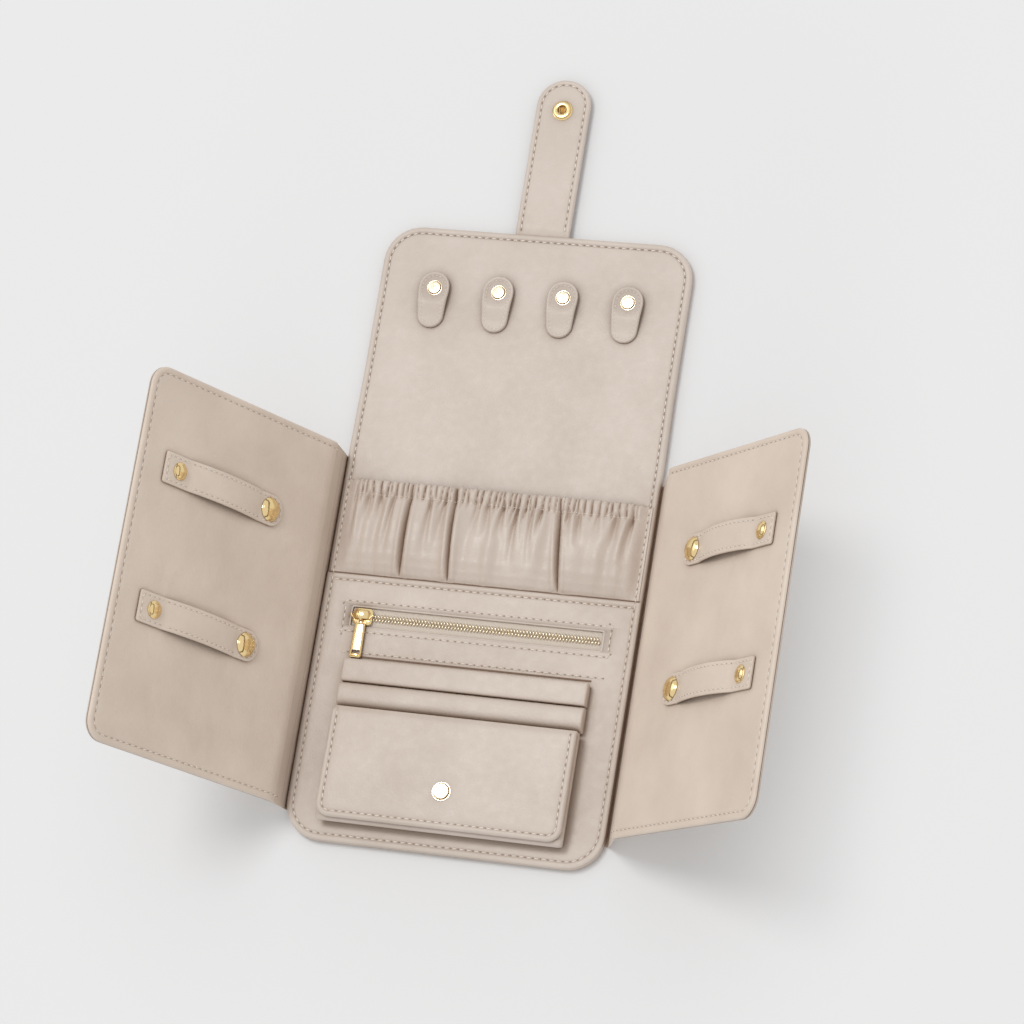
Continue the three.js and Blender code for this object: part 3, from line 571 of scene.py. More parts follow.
def fit(piece, body, finish, *stands_for):
    """The piece rides on a body and stands for those nodes, which it hides. The finish is not used."""
    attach(piece, body)
    if stands_for:
        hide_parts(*stands_for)


def fold(piece, first, second, start, end, finish, *stands_for):
    """The piece keeps its place, which is baked into its mesh, and stands for those nodes, which it hides.
    The bodies and the finish are not used, and start and end have no effect.
    """
    tuple(start)
    tuple(end)
    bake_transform(piece)
    if stands_for:
        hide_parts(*stands_for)


SPINE_TURN = 5.0  # half the length of lining or cover that turns at each end of the spine
fold_low = (on_table(0, SPINE_LOW - SPINE_TURN, 0.7), on_table(0, SPINE_LOW + SPINE_TURN, 0.7))
fold_high = (on_table(0, SPINE_HIGH - SPINE_TURN, 0.7), on_table(0, SPINE_HIGH + SPINE_TURN, 0.7))


def clamp(share):
    """The share, kept between 0 and 1."""
    return min(1.0, max(0.0, share))


def spine_half(along):
    """The panels narrow a little over the spine, from the centre panel to the flap."""
    share = clamp((along - SPINE_LOW) / (SPINE_HIGH - SPINE_LOW))
    return BASE_HALF + (FLAP_HALF - BASE_HALF) * share


LAP = 3.0  # the two halves of the lining lap here, one a hair under the other
base_edge = outline(spine_half, 0.0, SPINE_MID + LAP, CORNER, 0.0, step=3.0, far_open=True)
cover_edge = outline(spine_half, 0.0, SPINE_MID, CORNER, 0.0, step=3.0, far_open=True)
centre_lining = leaf(
    "centre_lining", base_edge, turned_edge(4.6, 3.05, INNER), on_table, lining_leather, cols=2,
)


def cut(piece, cutter):
    """Takes the cutter out of the piece."""
    modifier = piece.modifiers.new("cut", "BOOLEAN")
    modifier.operation = "DIFFERENCE"
    modifier.solver = "EXACT"
    modifier.object = cutter
    graph = bpy.context.evaluated_depsgraph_get()
    result = bpy.data.meshes.new_from_object(piece.evaluated_get(graph), depsgraph=graph)
    piece.modifiers.remove(modifier)
    piece.data = result
    bpy.data.objects.remove(cutter)


# Lower inner panel: a second layer of lining leather whose folded top edge covers the gathered pocket's
# foot. The zip's window is cut through both layers and its edge is turned in.
LOWER_TOP = 158.0
ZIP_Y = 132.8
WINDOW_HALF = 75.5
WINDOW_H = 12.0
lower_edge = outline(BASE_HALF - 0.35, 0.35, LOWER_TOP, CORNER - 0.35, 0.8, step=5.0)
lower_panel = leaf(
    "lower_panel", lower_edge,
    [(1.2, 5.9), (0.25, 5.95), (0.0, 6.2), (0.04, 6.6), (0.35, 6.88), (1.1, 7.05), (1.9, 7.12),
     (2.6, 7.02), (3.25, 6.7), (3.85, 6.48), (4.5, 6.68), (5.6, LOWER_FACE), (8.0, LOWER_FACE)],
    on_table, lining_leather, cols=2,
)
window_edge = outline(WINDOW_HALF, ZIP_Y - WINDOW_H / 2, ZIP_Y + WINDOW_H / 2, 1.2, 1.2)
for layer in (centre_lining, lower_panel):
    cutter = leaf("cutter", window_edge, [(0.0, 3.0), (0.0, 9.0)], on_table, lining_leather)
    cut(layer, cutter)
window_lip = leaf(
    "window_lip", window_edge,
    [(-0.7, 6.7), (-0.5, 6.84), (-0.1, 6.88), (0.3, 6.75), (0.5, 6.4), (0.5, 6.0), (0.1, 5.7),
     (-0.4, 5.8), (-0.7, 6.2)],
    on_table, lining_leather, hollow=True,
)
fold(centre_lining, "base", "spine", *fold_low, "inner_leather", "base_lining")
fit(lower_panel, "base", "inner_leather")
fit(window_lip, "base", "inner_leather")

LINING_SEAM, COVER_SEAM = 5.86, 0.14  # heights of the thread in the seams of the lining and the cover


def base_level(along):
    """Height of the perimeter stitches: on the lower panel, over the pocket's sewn sides, on the lining."""
    if along < LOWER_TOP:
        return 6.66
    return 6.9 if along < 214 else LINING_SEAM


top_row = [on_table(x, LOWER_TOP - 4.0, 6.7) for x in (-88, 0, 88)]
box_row = [on_table(x, 111.3, LOWER_FACE + 0.02) for x in (-76, 0, 77)]
frame_x, frame_y = WINDOW_HALF + 4.2, WINDOW_H / 2 + 3.0
zip_row = [
    on_table(x * frame_x, ZIP_Y + y * frame_y, LOWER_FACE + 0.02)
    for x, y in ((-1, -1), (1, -1), (1, 1), (-1, 1), (-1, -1))
]
base_stitches = sew(
    "base_stitches",
    [seam_path(cover_edge, SEAM_IN, base_level, on_table, "near"), top_row, box_row, zip_row],
)
fold(base_stitches, "base", "spine", *fold_low, "inner_leather")

# Outer cover of the centre panel: soft leather over thin foam, quilted in plain diamonds through both
# layers. It runs on round the spine, where the diamonds stop.
DIAMOND_W, DIAMOND_H = 66.0, 70.0
QUILT_DEPTH = 0.75


def quilting_tree():
    """Geometry Nodes: presses two families of slanting channels into the lower face of a cover."""
    tree, given = new_group("quilting", "Width", "Height", "Depth", "Channel", "Half", "From", "To")
    spot = add_node(
        tree, "ShaderNodeSeparateXYZ", {0: add_node(tree, "GeometryNodeInputPosition").outputs[0]},
    ).outputs

    def do(operation, a, b=0.0):
        return maths(tree, operation, a, b)

    across = do("DIVIDE", spot["X"], given["Width"])
    up = do("DIVIDE", spot["Y"], given["Height"])
    channels = []
    for operation in ("ADD", "SUBTRACT"):
        slope = do(operation, across, up)
        off = do("ABSOLUTE", do("SUBTRACT", slope, do("ROUND", slope)))
        near = do("DIVIDE", do("MULTIPLY", off, given["Width"]), given["Channel"])
        channels.append(do("EXPONENT", do("MULTIPLY", do("MULTIPLY", near, near), -1.0)))
    inside = do("LESS_THAN", do("ABSOLUTE", spot["X"]), given["Half"])
    for rule, place, limit in (
        ("LESS_THAN", "Z", 0.0005), ("GREATER_THAN", "Y", given["From"]), ("LESS_THAN", "Y", given["To"]),
    ):
        inside = do("MULTIPLY", inside, do(rule, spot[place], limit))
    depth = do("MULTIPLY", do("MULTIPLY", do("MAXIMUM", *channels), given["Depth"]), inside)
    offset = add_node(tree, "ShaderNodeCombineXYZ", {"Z": depth})
    pressed = add_node(
        tree, "GeometryNodeSetPosition", {"Geometry": given["Geometry"], "Offset": offset.outputs[0]},
    )
    return end_group(tree, given, pressed.outputs[0])


quilting = quilting_tree()


def quilt(piece, low, high):
    """Quilts a cover between two distances along it."""
    values = {
        "Width": DIAMOND_W * MM, "Height": DIAMOND_H * MM, "Depth": QUILT_DEPTH * MM,
        "Channel": 3.4 * MM, "Half": (BASE_HALF - 5.2) * MM, "From": (low - Y_SHIFT) * MM,
        "To": (high - Y_SHIFT) * MM, "Material": cover_leather,
    }
    piece.data = grown(piece.data, quilting, values)


def quilt_paths(low, high):
    """Stitch lines in the channels, clipped to the quilted part of a cover."""
    paths = []
    half = BASE_HALF - 6.0
    for way in (1, -1):
        for k in range(-8, 9):
            points = []
            for i in range(201):
                x = -half + 2 * half * i / 200
                y = way * (k - x / DIAMOND_W) * DIAMOND_H + Y_SHIFT
                if low <= y <= high:
                    points.append(on_table(x, y, QUILT_DEPTH + 0.05))
            if len(points) > 3:
                paths.append([points[0], points[-1]])
    return paths


QUILT_END = 219.0  # the spine and what lies next to it stay plain
centre_cover = leaf(
    "centre_cover", cover_edge, turned_edge(1.4, 2.95, 0.0), on_table, cover_leather, cols=84,
)
quilt(centre_cover, 6.0, QUILT_END)
fold(centre_cover, "base", "spine", *fold_low, "outer_leather", "base_cover")
cover_stitches = sew(
    "cover_stitches",
    [seam_path(cover_edge, SEAM_IN, COVER_SEAM, on_table, "near"), *quilt_paths(7.0, QUILT_END)],
)
fold(cover_stitches, "base", "spine", *fold_low, "outer_leather")

# Stiffener: grey board with the zip pocket's hollow pressed into it; it only shows at a lifted edge
board = plain_fibre("grey_board", "#9A9085", "#867C71", 0.9, 700.0)
for name in ("base_board", "flap_board"):
    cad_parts[name].data.materials.clear()
    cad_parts[name].data.materials.append(board)

# Zip: woven tape sewn behind the window, a row of closed metal teeth, a domed slider and a framed pull.
# Slider and pull are plated zinc in polished gold. The teeth and the small plate, like the flat snap caps,
# take a paler copy of that gold, a painted highlight for the bright reflections on them.
def plated_zinc(name, colour, roughness):
    """Plated zinc: a mirror with the faintest polishing marks."""
    made, tree, spot = new_material(name)
    marks = noise(tree, spot, 420.0, 3.0)
    shine = mapped(tree, marks, 0.3, 0.7, roughness * 0.8, roughness * 1.3)
    ripple = bump(tree, marks, 0.00002)
    end_material(tree, surface(tree, linear(colour), shine, ripple, {"Metallic": 1.0}))
    return made


gold = plated_zinc("polished_gold_plating", "#F3D8A0", 0.14)
# A paler copy of the gold for the teeth, the pull's plate and the flat caps: painted highlight
gold_painted_paler = plated_zinc("gold_plating_painted_paler", "#E8DABF", 0.14)
# Dark brass for the snap grooves and the socket's cup: painted shade in these hollows
shaded_brass = plated_zinc("dark_brass_painted_shade", "#8E6A3A", 0.5)

# Woven tape: slanting ribs about 1 mm wide
tape_weave, tree, spot = new_material("woven_zip_tape")
ribs = add_node(
    tree, "ShaderNodeTexWave", {"Vector": spot, "Scale": 420.0, "Distortion": 2.0, "Detail": 1.0},
    wave_type="BANDS", bands_direction="DIAGONAL",
).outputs["Fac"]
tint = mixed(tree, ribs, "#D6CABC", "#E5DACD")
end_material(tree, surface(tree, tint, 0.85, bump(tree, ribs, 0.00015), {"Sheen Weight": 0.2}))
tape_edge = outline(
    WINDOW_HALF + 0.3, ZIP_Y - WINDOW_H / 2 - 0.3, ZIP_Y + WINDOW_H / 2 + 0.3, 0.4, 0.4, step=2.0,
)
tape = leaf(
    "zip_tape_cloth", tape_edge, [(0.0, 4.7), (0.0, 5.2), (1.5, 5.25), (4.0, 5.3)], on_table, tape_weave,
)
fit(tape, "base", "zip_tape", "zip_tape")


def teeth_tree():
    """Geometry Nodes: rounded teeth along a line, by turns from one side and the other."""
    tree, given = new_group("zip_teeth_row", "Pitch", "Length", "Width", "Height", "Offset", "Slant")
    odd = maths(tree, "MODULO", add_node(tree, "GeometryNodeInputIndex").outputs[0], 2.0)
    side = add_node(
        tree, "ShaderNodeMath", {0: odd, 1: 2.0, 2: -1.0}, operation="MULTIPLY_ADD",
    ).outputs[0]
    shift = add_node(tree, "ShaderNodeCombineXYZ", {"Y": maths(tree, "MULTIPLY", side, given["Offset"])})
    lean = add_node(tree, "ShaderNodeCombineXYZ", {"Z": maths(tree, "MULTIPLY", side, given["Slant"])})
    return beads(tree, given, shift, lean, ("Width", "Length", "Height"), Segments=8, Rings=6)


TEETH_Z = 6.0
row_line = bpy.data.meshes.new("row_line")
row_line.from_pydata(
    [on_table(-73.4, ZIP_Y, TEETH_Z), on_table(73.4, ZIP_Y, TEETH_Z)], [(0, 1)], [],
)
teeth_mesh = grown(row_line, teeth_tree(), {
    "Pitch": 0.95 * MM, "Length": 3.0 * MM, "Width": 1.15 * MM, "Height": 1.3 * MM,
    "Offset": 1.05 * MM, "Slant": 0.25, "Material": gold_painted_paler,
})
teeth_mesh.polygons.foreach_set("use_smooth", [True] * len(teeth_mesh.polygons))
teeth = add_object("teeth_row", teeth_mesh)
fit(teeth, "base", "gold_metal", "zip_teeth")

SLIDER_X = -68.5
SHIELD_Z = 7.1
SHIELD_TOP = 8.0
EYE_Z = 9.65
slider_edge = outline(5.0, SLIDER_X - 5.8, SLIDER_X + 6.2, 3.2, 2.2, step=2.0)


def along_zip(across, along, height):
    """A point placed from the zip's own middle line, with distances along the teeth."""
    return on_table(along, ZIP_Y + across, height)


slider_plate = leaf(
    "slider_plate", slider_edge,
    [(0.4, SHIELD_Z), (0.05, SHIELD_Z + 0.1), (0.0, SHIELD_Z + 0.4), (0.12, SHIELD_TOP - 0.15),
     (0.5, SHIELD_TOP + 0.05), (1.2, SHIELD_TOP + 0.22), (2.4, SHIELD_TOP + 0.4), (3.4, SHIELD_TOP + 0.46)],
    along_zip, gold, cols=2,
)
fit(slider_plate, "zip_slider", "gold_metal")


def wrap(shape, rings, closed=False):
    """Joins rings that have the same number of points by quads."""
    count = len(rings[0])
    for a, b in list(zip(rings, rings[1:])) + ([(rings[-1], rings[0])] if closed else []):
        for i in range(count):
            j = (i + 1) % count
            shape.faces.new((a[i], a[j], b[j], b[i]))
    if not closed:
        shape.faces.new(rings[0])
        shape.faces.new(rings[-1])


def swept(name, path, radius, place, material, segments=12, flat=1.0, closed=False):
    """A round or oval wire along a path of (x, y, z) points."""
    shape = bmesh.new()
    points = [Vector(p) for p in path]
    rings = []
    for k, here in enumerate(points):
        before = points[k - 1] if k or closed else here
        after = points[(k + 1) % len(points)] if k + 1 < len(points) or closed else here
        ahead = (after - before).normalized()
        side = ahead.cross(Vector((0, 0, 1)) if abs(ahead.z) < 0.95 else Vector((0, 1, 0))).normalized()
        up = side.cross(ahead).normalized()
        rings.append([
            shape.verts.new(place(*(here + side * (radius * flat * c) + up * (radius * s))))
            for c, s in circle(segments)
        ])
    wrap(shape, rings, closed)
    return make(name, shape, material, sharp=50)


# The bridge that holds the pull: a wide band over the slider with a broad crown
crown = [
    (SLIDER_X + 4.6 * math.cos(math.pi * i / 20), ZIP_Y + 0.6,
     SHIELD_TOP + 0.1 + 3.1 * math.sin(math.pi * i / 20) ** 0.7)
    for i in range(21)
]
bridge = swept("slider_bridge", crown, 0.8, on_table, gold, flat=3.4, segments=18)
fit(bridge, "zip_slider", "gold_metal", "zip_slider")

# The pull hangs towards the bottom of the panel: an eye round the bridge and a long open frame
PULL_LOW = ZIP_Y - 25.0
PULL_HIGH = ZIP_Y - 3.8
PULL_Z = 8.4


def on_pull(across, along, height):
    return on_table(SLIDER_X + across, along, PULL_Z + height)


def narrowing(half):
    """The pull is 1 mm slimmer at its neck than at its end."""
    return lambda along: half - 0.5 * (along - PULL_LOW) / (PULL_HIGH - PULL_LOW)


frame_edge = outline(narrowing(3.6), PULL_LOW, PULL_HIGH, 1.3, 1.5, step=4.0)
pull_frame = leaf(
    "pull_frame", frame_edge,
    [(0.25, 0), (0.0, 0.3), (0.0, 0.9), (0.2, 1.25), (0.7, 1.4), (1.1, 1.2), (1.25, 0.9), (1.25, 0.3),
     (1.05, 0)],
    on_pull, gold, hollow=True,
)
# A thinner plate fills the frame down to a small slot near its end
plate_edge = outline(narrowing(2.5), PULL_LOW + 4.6, PULL_HIGH - 0.8, 0.5, 0.5, step=4.0)
pull_plate = leaf(
    "pull_plate", plate_edge, [(0.1, 0.15), (0.0, 0.3), (0.0, 0.6), (0.3, 0.7)], on_pull, gold_painted_paler,
)
foot_edge = outline(2.5, PULL_LOW + 1.0, PULL_LOW + 2.6, 0.4, 0.4, step=2.0)
pull_foot = leaf(
    "pull_foot", foot_edge, [(0.2, 0.1), (0.0, 0.3), (0.0, 0.8), (0.4, 1.1)], on_pull, gold,
)
eye = [(SLIDER_X, ZIP_Y - 1.3 + 1.75 * c, EYE_Z + 1.45 * s) for c, s in circle(20)]
pull_eye = swept("pull_eye", eye, 0.5, on_table, gold, flat=2.1, closed=True)
neck = [(0, ZIP_Y - 2.6, 0.7), (0, ZIP_Y - 4.8, 0.65)]
pull_neck = swept("pull_neck", neck, 0.55, on_pull, gold, flat=2.0)
for piece in (pull_frame, pull_plate, pull_foot, pull_eye):
    fit(piece, "zip_pull", "gold_metal")
fit(pull_neck, "zip_pull", "gold_metal", "zip_pull")

# Gathered pocket: one strip of lining leather, sewn in at the foot and both sides and drawn together by
# elastic in a channel along its top. The fullness falls from the channel in soft folds, three of them deep.
# The pocket's corner colour is its painted shade
pocket_leather = leather(
    "beige_thin_pocket_leather", LINING_LIGHT, LINING_DARK, waves=0.3, shine=(0.31, 0.43),
    corner="#BCA898",
)
POCKET_LOW = 156.6
POCKET_HIGH = 214.4
CHANNEL = 205.8
POCKET_HALF = 92.6
SEWN_HALF = 90.4
DEEP_FOLDS = ((-50.8, 0.0), (-23.7, 0.045), (39.4, 0.11))  # place at the elastic, and drift going down
RISE = (  # distance along the panel, and height of the leather there between its folds
    (156.6, 0.2), (157.9, 0.8), (158.4, 1.05), (159.2, 2.2), (161.0, 3.3), (165.0, 4.9), (171.0, 6.5),
    (180.0, 7.7), (190.0, 7.7), (197.0, 6.9), (202.0, 6.0), (205.8, 5.2), (208.5, 5.9), (211.8, 6.2),
    (214.4, 5.5),
)
chance = random.Random(11)
tucks = []  # short sharp creases that the elastic draws in
x = -SEWN_HALF + 1.5
while x < SEWN_HALF - 1.0:
    tucks.append((
        x, chance.uniform(0.55, 1.0), chance.choice((2.0, 4.0, 6.0, 9.0, 13.0)),
        chance.uniform(-0.1, 0.1),
    ))
    x += chance.uniform(2.3, 4.6)
drapes = []  # wider folds that fall from the elastic and fade out in the body
x = -84.0
while x < 86.0:
    if all(abs(x - place) > 4.5 for place, _ in DEEP_FOLDS):
        drapes.append((
            x, chance.uniform(1.0, 2.2), chance.uniform(14.0, 44.0), chance.uniform(-0.1, 0.14),
            chance.choice((-1, 1)),
        ))
    x += chance.uniform(5.5, 11.0)


def between(table, at):
    """Reads a smooth curve through (place, value) pairs."""
    for (a, va), (b, vb) in zip(table, table[1:]):
        if at <= b:
            share = max(0.0, (at - a) / (b - a))
            share = share * share * (3 - 2 * share) * 0.5 + share * 0.5
            return va + (vb - va) * share
    return table[-1][1]


def bell(off, width):
    """A soft round dip or swell."""
    return math.exp(-((off / width) ** 2)) if abs(off) < 4 * width else 0.0


def pinch(off, width):
    """A sharp crease between two rounded sides."""
    return math.exp(-abs(off) / width) if abs(off) < 9 * width else 0.0


def pocket_rise(x, y):
    """Height of the gathered leather over the lining."""
    rise = between(RISE, y)
    down = CHANNEL - y
    # Tucks start at the elastic and open out as they go down
    for place, depth, reach, drift in tucks:
        share = clamp(down / reach)
        if share < 1.0:
            rise -= 3.0 * depth * (1 - share) ** 1.2 * pinch(x - place - drift * down, 0.62 + 0.5 * share)
    # Drapes: a dip with a swell on its lit side
    if down > -2.0:
        start = min(1.0, (down + 2.0) / 4.0)
        for place, depth, reach, drift, lit in drapes:
            share = clamp(down / reach)
            if share < 1.0:
                off = x - place - drift * down
                fade = start * (1 - share) ** 0.8
                rise -= 1.5 * depth * fade * bell(off, 0.9 + 1.8 * share)
                rise += 0.9 * depth * fade * bell(off - lit * (2.6 + 1.8 * share), 1.5 + 1.6 * share)
    # Soft ripples all over the body of the pocket
    body = math.sin(math.pi * clamp((y - 157.6) / 50.0)) ** 0.42
    rise += body * (0.6 * math.sin(x / 2.3 + 2.4 * math.sin(x / 13.0) + 0.02 * down)
                    + 1.0 * math.sin(x / 4.6 + 0.8 + 1.7 * math.sin(x / 23.0) + 0.02 * down))
    # The deep folds reach the foot and keep both a sharp crease and a round hollow
    for place, drift in DEEP_FOLDS:
        share = clamp(down / (CHANNEL - 158.2))
        off = x - place - drift * down
        width = 0.22 + 0.5 * clamp((y - 157.6) / 14.0) * (0.65 + 0.35 * share)
        foot = clamp((y - 157.9) / 1.5)
        deep = min(0.94 * max(0.0, rise - 0.9), 5.2 * (0.6 + 0.4 * math.sin(math.pi * share)))
        rise -= foot * deep * (0.62 * pinch(off, width) + 0.38 * bell(off, 0.9 + width))
        rise += 0.9 * foot * (bell(off - 3.3, 1.7) + bell(off + 3.0, 1.5))
    if abs(y - 160.0) < 4.0:  # small puckers where the foot is sewn in
        rise -= 0.35 * (1 - abs(y - 160.0) / 4.0) * pinch((x + 2.2 * math.sin(x / 7)) % 5.3 - 2.6, 0.7)
    # Both sides are sewn down flat
    inward = clamp((SEWN_HALF - abs(x)) / 13.0)
    side = inward ** 1.4 * (2.4 - 1.4 * inward)
    return max(0.75, 0.8 + (rise - 0.8) * side)


POCKET_COLUMNS = 440


def pocket_column(i, y):
    """Place of a mesh column: columns close up along each deep fold and follow it down."""
    step = 2 * POCKET_HALF / POCKET_COLUMNS
    x = moved = i * step - POCKET_HALF
    for place, drift in DEEP_FOLDS:
        nearest = round((place + POCKET_HALF) / step) * step - POCKET_HALF
        off = x - nearest
        moved += (place - nearest + drift * (CHANNEL - y)) * bell(off, 12.0) - 0.6 * off * bell(off, 2.5)
    return moved


def gathered_sheet(name, rows=62, thick=1.0):
    """The whole pocket: its upper face, the same face a leather's thickness lower, and the four edges."""
    shape = bmesh.new()
    sheets = []
    for lower in (False, True):
        sheet = []
        for j in range(rows + 1):
            y = POCKET_LOW + (POCKET_HIGH - POCKET_LOW) * j / rows
            row = []
            for i in range(POCKET_COLUMNS + 1):
                x = pocket_column(i, y)
                z = INNER + pocket_rise(x, y)
                hem = y + (0.5 * math.sin(x * 1.9) * math.sin(x * 0.37) if j > rows - 3 else 0)
                if lower:
                    z = max(INNER + 0.1, z - thick)
                elif j == rows:
                    z -= 0.35
                row.append(shape.verts.new(on_table(x, hem, z)))
            sheet.append(row)
        sheets.append(sheet)
    top, under = sheets
    for j in range(rows):
        for i in range(POCKET_COLUMNS):
            shape.faces.new((top[j][i], top[j][i + 1], top[j + 1][i + 1], top[j + 1][i]))
            shape.faces.new((under[j][i], under[j + 1][i], under[j + 1][i + 1], under[j][i + 1]))
    for i in range(POCKET_COLUMNS):
        for j in (0, rows):
            shape.faces.new((top[j][i], under[j][i], under[j][i + 1], top[j][i + 1]))
    for j in range(rows):
        for i in (0, POCKET_COLUMNS):
            shape.faces.new((top[j][i], top[j + 1][i], under[j + 1][i], under[j][i]))
    return make(name, shape, pocket_leather, sharp=70)


gathered = gathered_sheet("gathered_pocket")
fit(gathered, "base", "inner_leather", "elastic_pocket")
elastic_row = [on_table(x, CHANNEL, INNER + pocket_rise(x, CHANNEL) + 0.02) for x in range(-88, 89)]
elastic_stitches = sew(
    "elastic_stitches", [elastic_row], pitch=2.6, length=1.7, thickness=0.5, hole=0.0,
)
fit(elastic_stitches, "base", "inner_leather")

# Ring box: a flat-topped pad and one round roll, firm foam covered in lining leather and sewn to the lower
# panel side by side, so that ring shanks are held in the slot between them.
BOX_HALF = 73.0
PILE_Z = 7.0
BOLSTER_POINTS = 40


def bolster(name, low, high, rise, square, sink):
    """A stuffed bar across the box: a nearly square pad or a nearly round roll, cut flat underneath."""
    shape = bmesh.new()
    middle, half = (low + high) / 2, (high - low) / 2
    deep = (rise + sink) / 2
    centre = PILE_Z + rise - deep
    stations = [(-BOX_HALF, 1.1), (-BOX_HALF + 0.12, 0.55), (-BOX_HALF + 0.5, 0.14)]
    count = 44
    span = BOX_HALF - 1.2
    stations += [(-span + 2 * span * i / count, 0.0) for i in range(count + 1)]
    stations += [(-x, inset) for x, inset in reversed(stations[:3])]
    rings = []
    for x, inset in stations:
        ring = []
        slack = 0.0 if inset else 0.1 * math.sin(x * 0.31) + 0.07 * math.sin(x * 0.83 + low)
        for c, s in circle(BOLSTER_POINTS):
            y = middle + (half - inset) * math.copysign(abs(c) ** (2 / square), c)
            z = centre + (deep - inset + slack) * math.copysign(abs(s) ** (2 / square), s)
            ring.append(shape.verts.new(on_table(x, y, max(z, PILE_Z - 0.1 + inset))))
        rings.append(ring)
    wrap(shape, rings)
    return make(name, shape, lining_leather, sharp=50)


pad = bolster("ring_pad_soft", 92.6, 106.4, rise=8.0, square=6.0, sink=0.6)
fit(pad, "base", "inner_leather", "ring_pad")
roll = bolster("ring_roll_soft", 77.3, 92.5, rise=9.2, square=2.9, sink=4.0)
fit(roll, "base", "inner_leather", "ring_roll")

# The lower panel's leather ends above the pad, and along its top, in a raw edge. A thin dark brown line
# along each of these edges is painted shade, in the gap behind the pad and at the pocket's foot
painted_shade_brown = plain_fibre("brown_painted_shade_line", "#8A6F5B", "#75604F", 0.6, 900.0)
for name, half, low, high, face in (
    ("box_painted_edge", BOX_HALF - 0.4, 108.5, 109.5, 7.15),
    ("top_painted_edge", BASE_HALF - 1.6, LOWER_TOP - 0.35, LOWER_TOP + 0.3, 7.2),
):
    shade_line = leaf(
        name, outline(half, low, high, 0.2, 0.2, step=4.0),
        [(0.0, 6.3), (0.0, face - 0.15), (0.12, face)], on_table, painted_shade_brown,
    )
    fit(shade_line, "base", "inner_leather")

# Small pouch under the roll: a shallow leather box with pleated sides, sewn to the lower panel. Its flap is
# folded over the back wall, has a thick turned edge with a row of stitches, and closes with a gold snap.
POUCH_LOW = 10.2
POUCH_HIGH = 76.6
POUCH_TOP = 18.6
pouch_edge = outline(BOX_HALF, POUCH_LOW, POUCH_HIGH, 2.4, 0.6, step=8.0)
pouch_body = leaf(
    "small_pouch_box", pouch_edge,
    [(2.6, 6.95), (1.7, 7.0), (1.5, 7.5), (1.1, 10.2), (1.5, 10.8), (1.65, 11.4), (1.3, 12.0),
     (0.55, 12.6), (0.1, 14.6), (0.15, 15.8), (0.6, 16.7), (1.3, 17.4), (2.2, 18.0), (3.2, 18.4),
     (5.0, POUCH_TOP)],
    on_table, lining_leather,
)
room_edge = outline(BOX_HALF - 3.0, POUCH_LOW + 3.0, 74.6, 1.0, 0.6)
mouth_edge = outline(BOX_HALF - 3.0, 64.0, 74.6, 0.6, 0.6)
for edge, low, high in ((room_edge, 8.4, 17.0), (mouth_edge, 9.8, 21.0)):
    cut(pouch_body, leaf("cutter", edge, [(0.0, low), (0.0, high)], on_table, lining_leather))
fit(pouch_body, "base", "inner_leather", "pouch_body")

POUCH_FLAP_HALF, POUCH_FLAP_LOW = 72.7, 12.0
TURN_FROM = 73.4
TURN_R = 2.5
TURN_LEVEL = 20.2
POUCH_SNAP = 33.3
flap_length = TURN_FROM + TURN_R * math.pi / 2 + 1.2


def cushion(across, along):
    """The thin foam in the flap lifts its middle a little, and the snap presses a shallow dip in it."""
    up = (along - POUCH_FLAP_LOW) / (TURN_FROM - POUCH_FLAP_LOW)
    over = max(0.0, 1 - (across / POUCH_FLAP_HALF) ** 4) * max(0.0, math.sin(math.pi * up))
    dip = bell(math.hypot(across, along - POUCH_SNAP), 9.0)
    return 0.9 * over - 0.5 * dip if POUCH_FLAP_LOW < along < TURN_FROM else 0.0


def over_the_back(across, along, height):
    """The flap lies in a shallow cushion and then turns down behind the pouch."""
    past = along - TURN_FROM
    if past <= 0:
        return on_table(across, along, height + cushion(across, along))
    out = height - TURN_LEVEL + TURN_R
    angle = min(past / TURN_R, math.pi / 2)
    rest = past - angle * TURN_R
    return on_table(
        across, TURN_FROM + out * math.sin(angle) * 0.94,
        TURN_LEVEL - TURN_R + out * math.cos(angle) - rest,
    )


flap_edge = outline(POUCH_FLAP_HALF, POUCH_FLAP_LOW, flap_length, 8.2, 0.4, step=1.6)
pouch_flap = leaf(
    "small_pouch_flap", flap_edge,
    [(5.0, 19.5), (2.0, 19.35), (0.9, 19.0), (0.25, 19.05), (0.0, 19.6), (0.02, 20.3), (0.25, 21.0),
     (0.75, 21.5), (1.4, 21.72), (2.1, 21.7), (2.8, 21.4), (3.5, 20.92), (4.2, 21.08), (5.2, 21.25),
     (7.0, 21.3)],
    over_the_back, lining_leather, cols=24,
)
hinge = (on_table(0, 77.4, 18.2), on_table(0, 72.6, 20.4))
fold(pouch_flap, "base", "pouch_flap", *hinge, "inner_leather", "pouch_flap")
sewn_edge = outline(POUCH_FLAP_HALF, POUCH_FLAP_LOW, 72.0, 8.2, 0.0, step=4.0, far_open=True)
flap_line = seam_path(sewn_edge, 3.5, 21.05, over_the_back, "near")
fit(sew("pouch_flap_stitches", [flap_line]), "pouch_flap", "inner_leather")


def lathe(name, profile, place, material, segments=44, closed=False):
    """A turned piece about its own upright axis, from (radius, height) points."""
    shape = bmesh.new()
    rings = []
    for r, z in profile:
        spots = circle(segments) if r > 0.001 else [(0, 0)]
        rings.append([shape.verts.new(place(r * c, r * s, z)) for c, s in spots])
    for a, b in list(zip(rings, rings[1:])) + ([(rings[-1], rings[0])] if closed else []):
        for i in range(segments):
            j = (i + 1) % segments
            if len(a) == 1:
                shape.faces.new((a[0], b[i], b[j]))
            elif len(b) == 1:
                shape.faces.new((a[i], a[j], b[0]))
            else:
                shape.faces.new((a[i], a[j], b[j], b[i]))
    return make(name, shape, material, sharp=50)


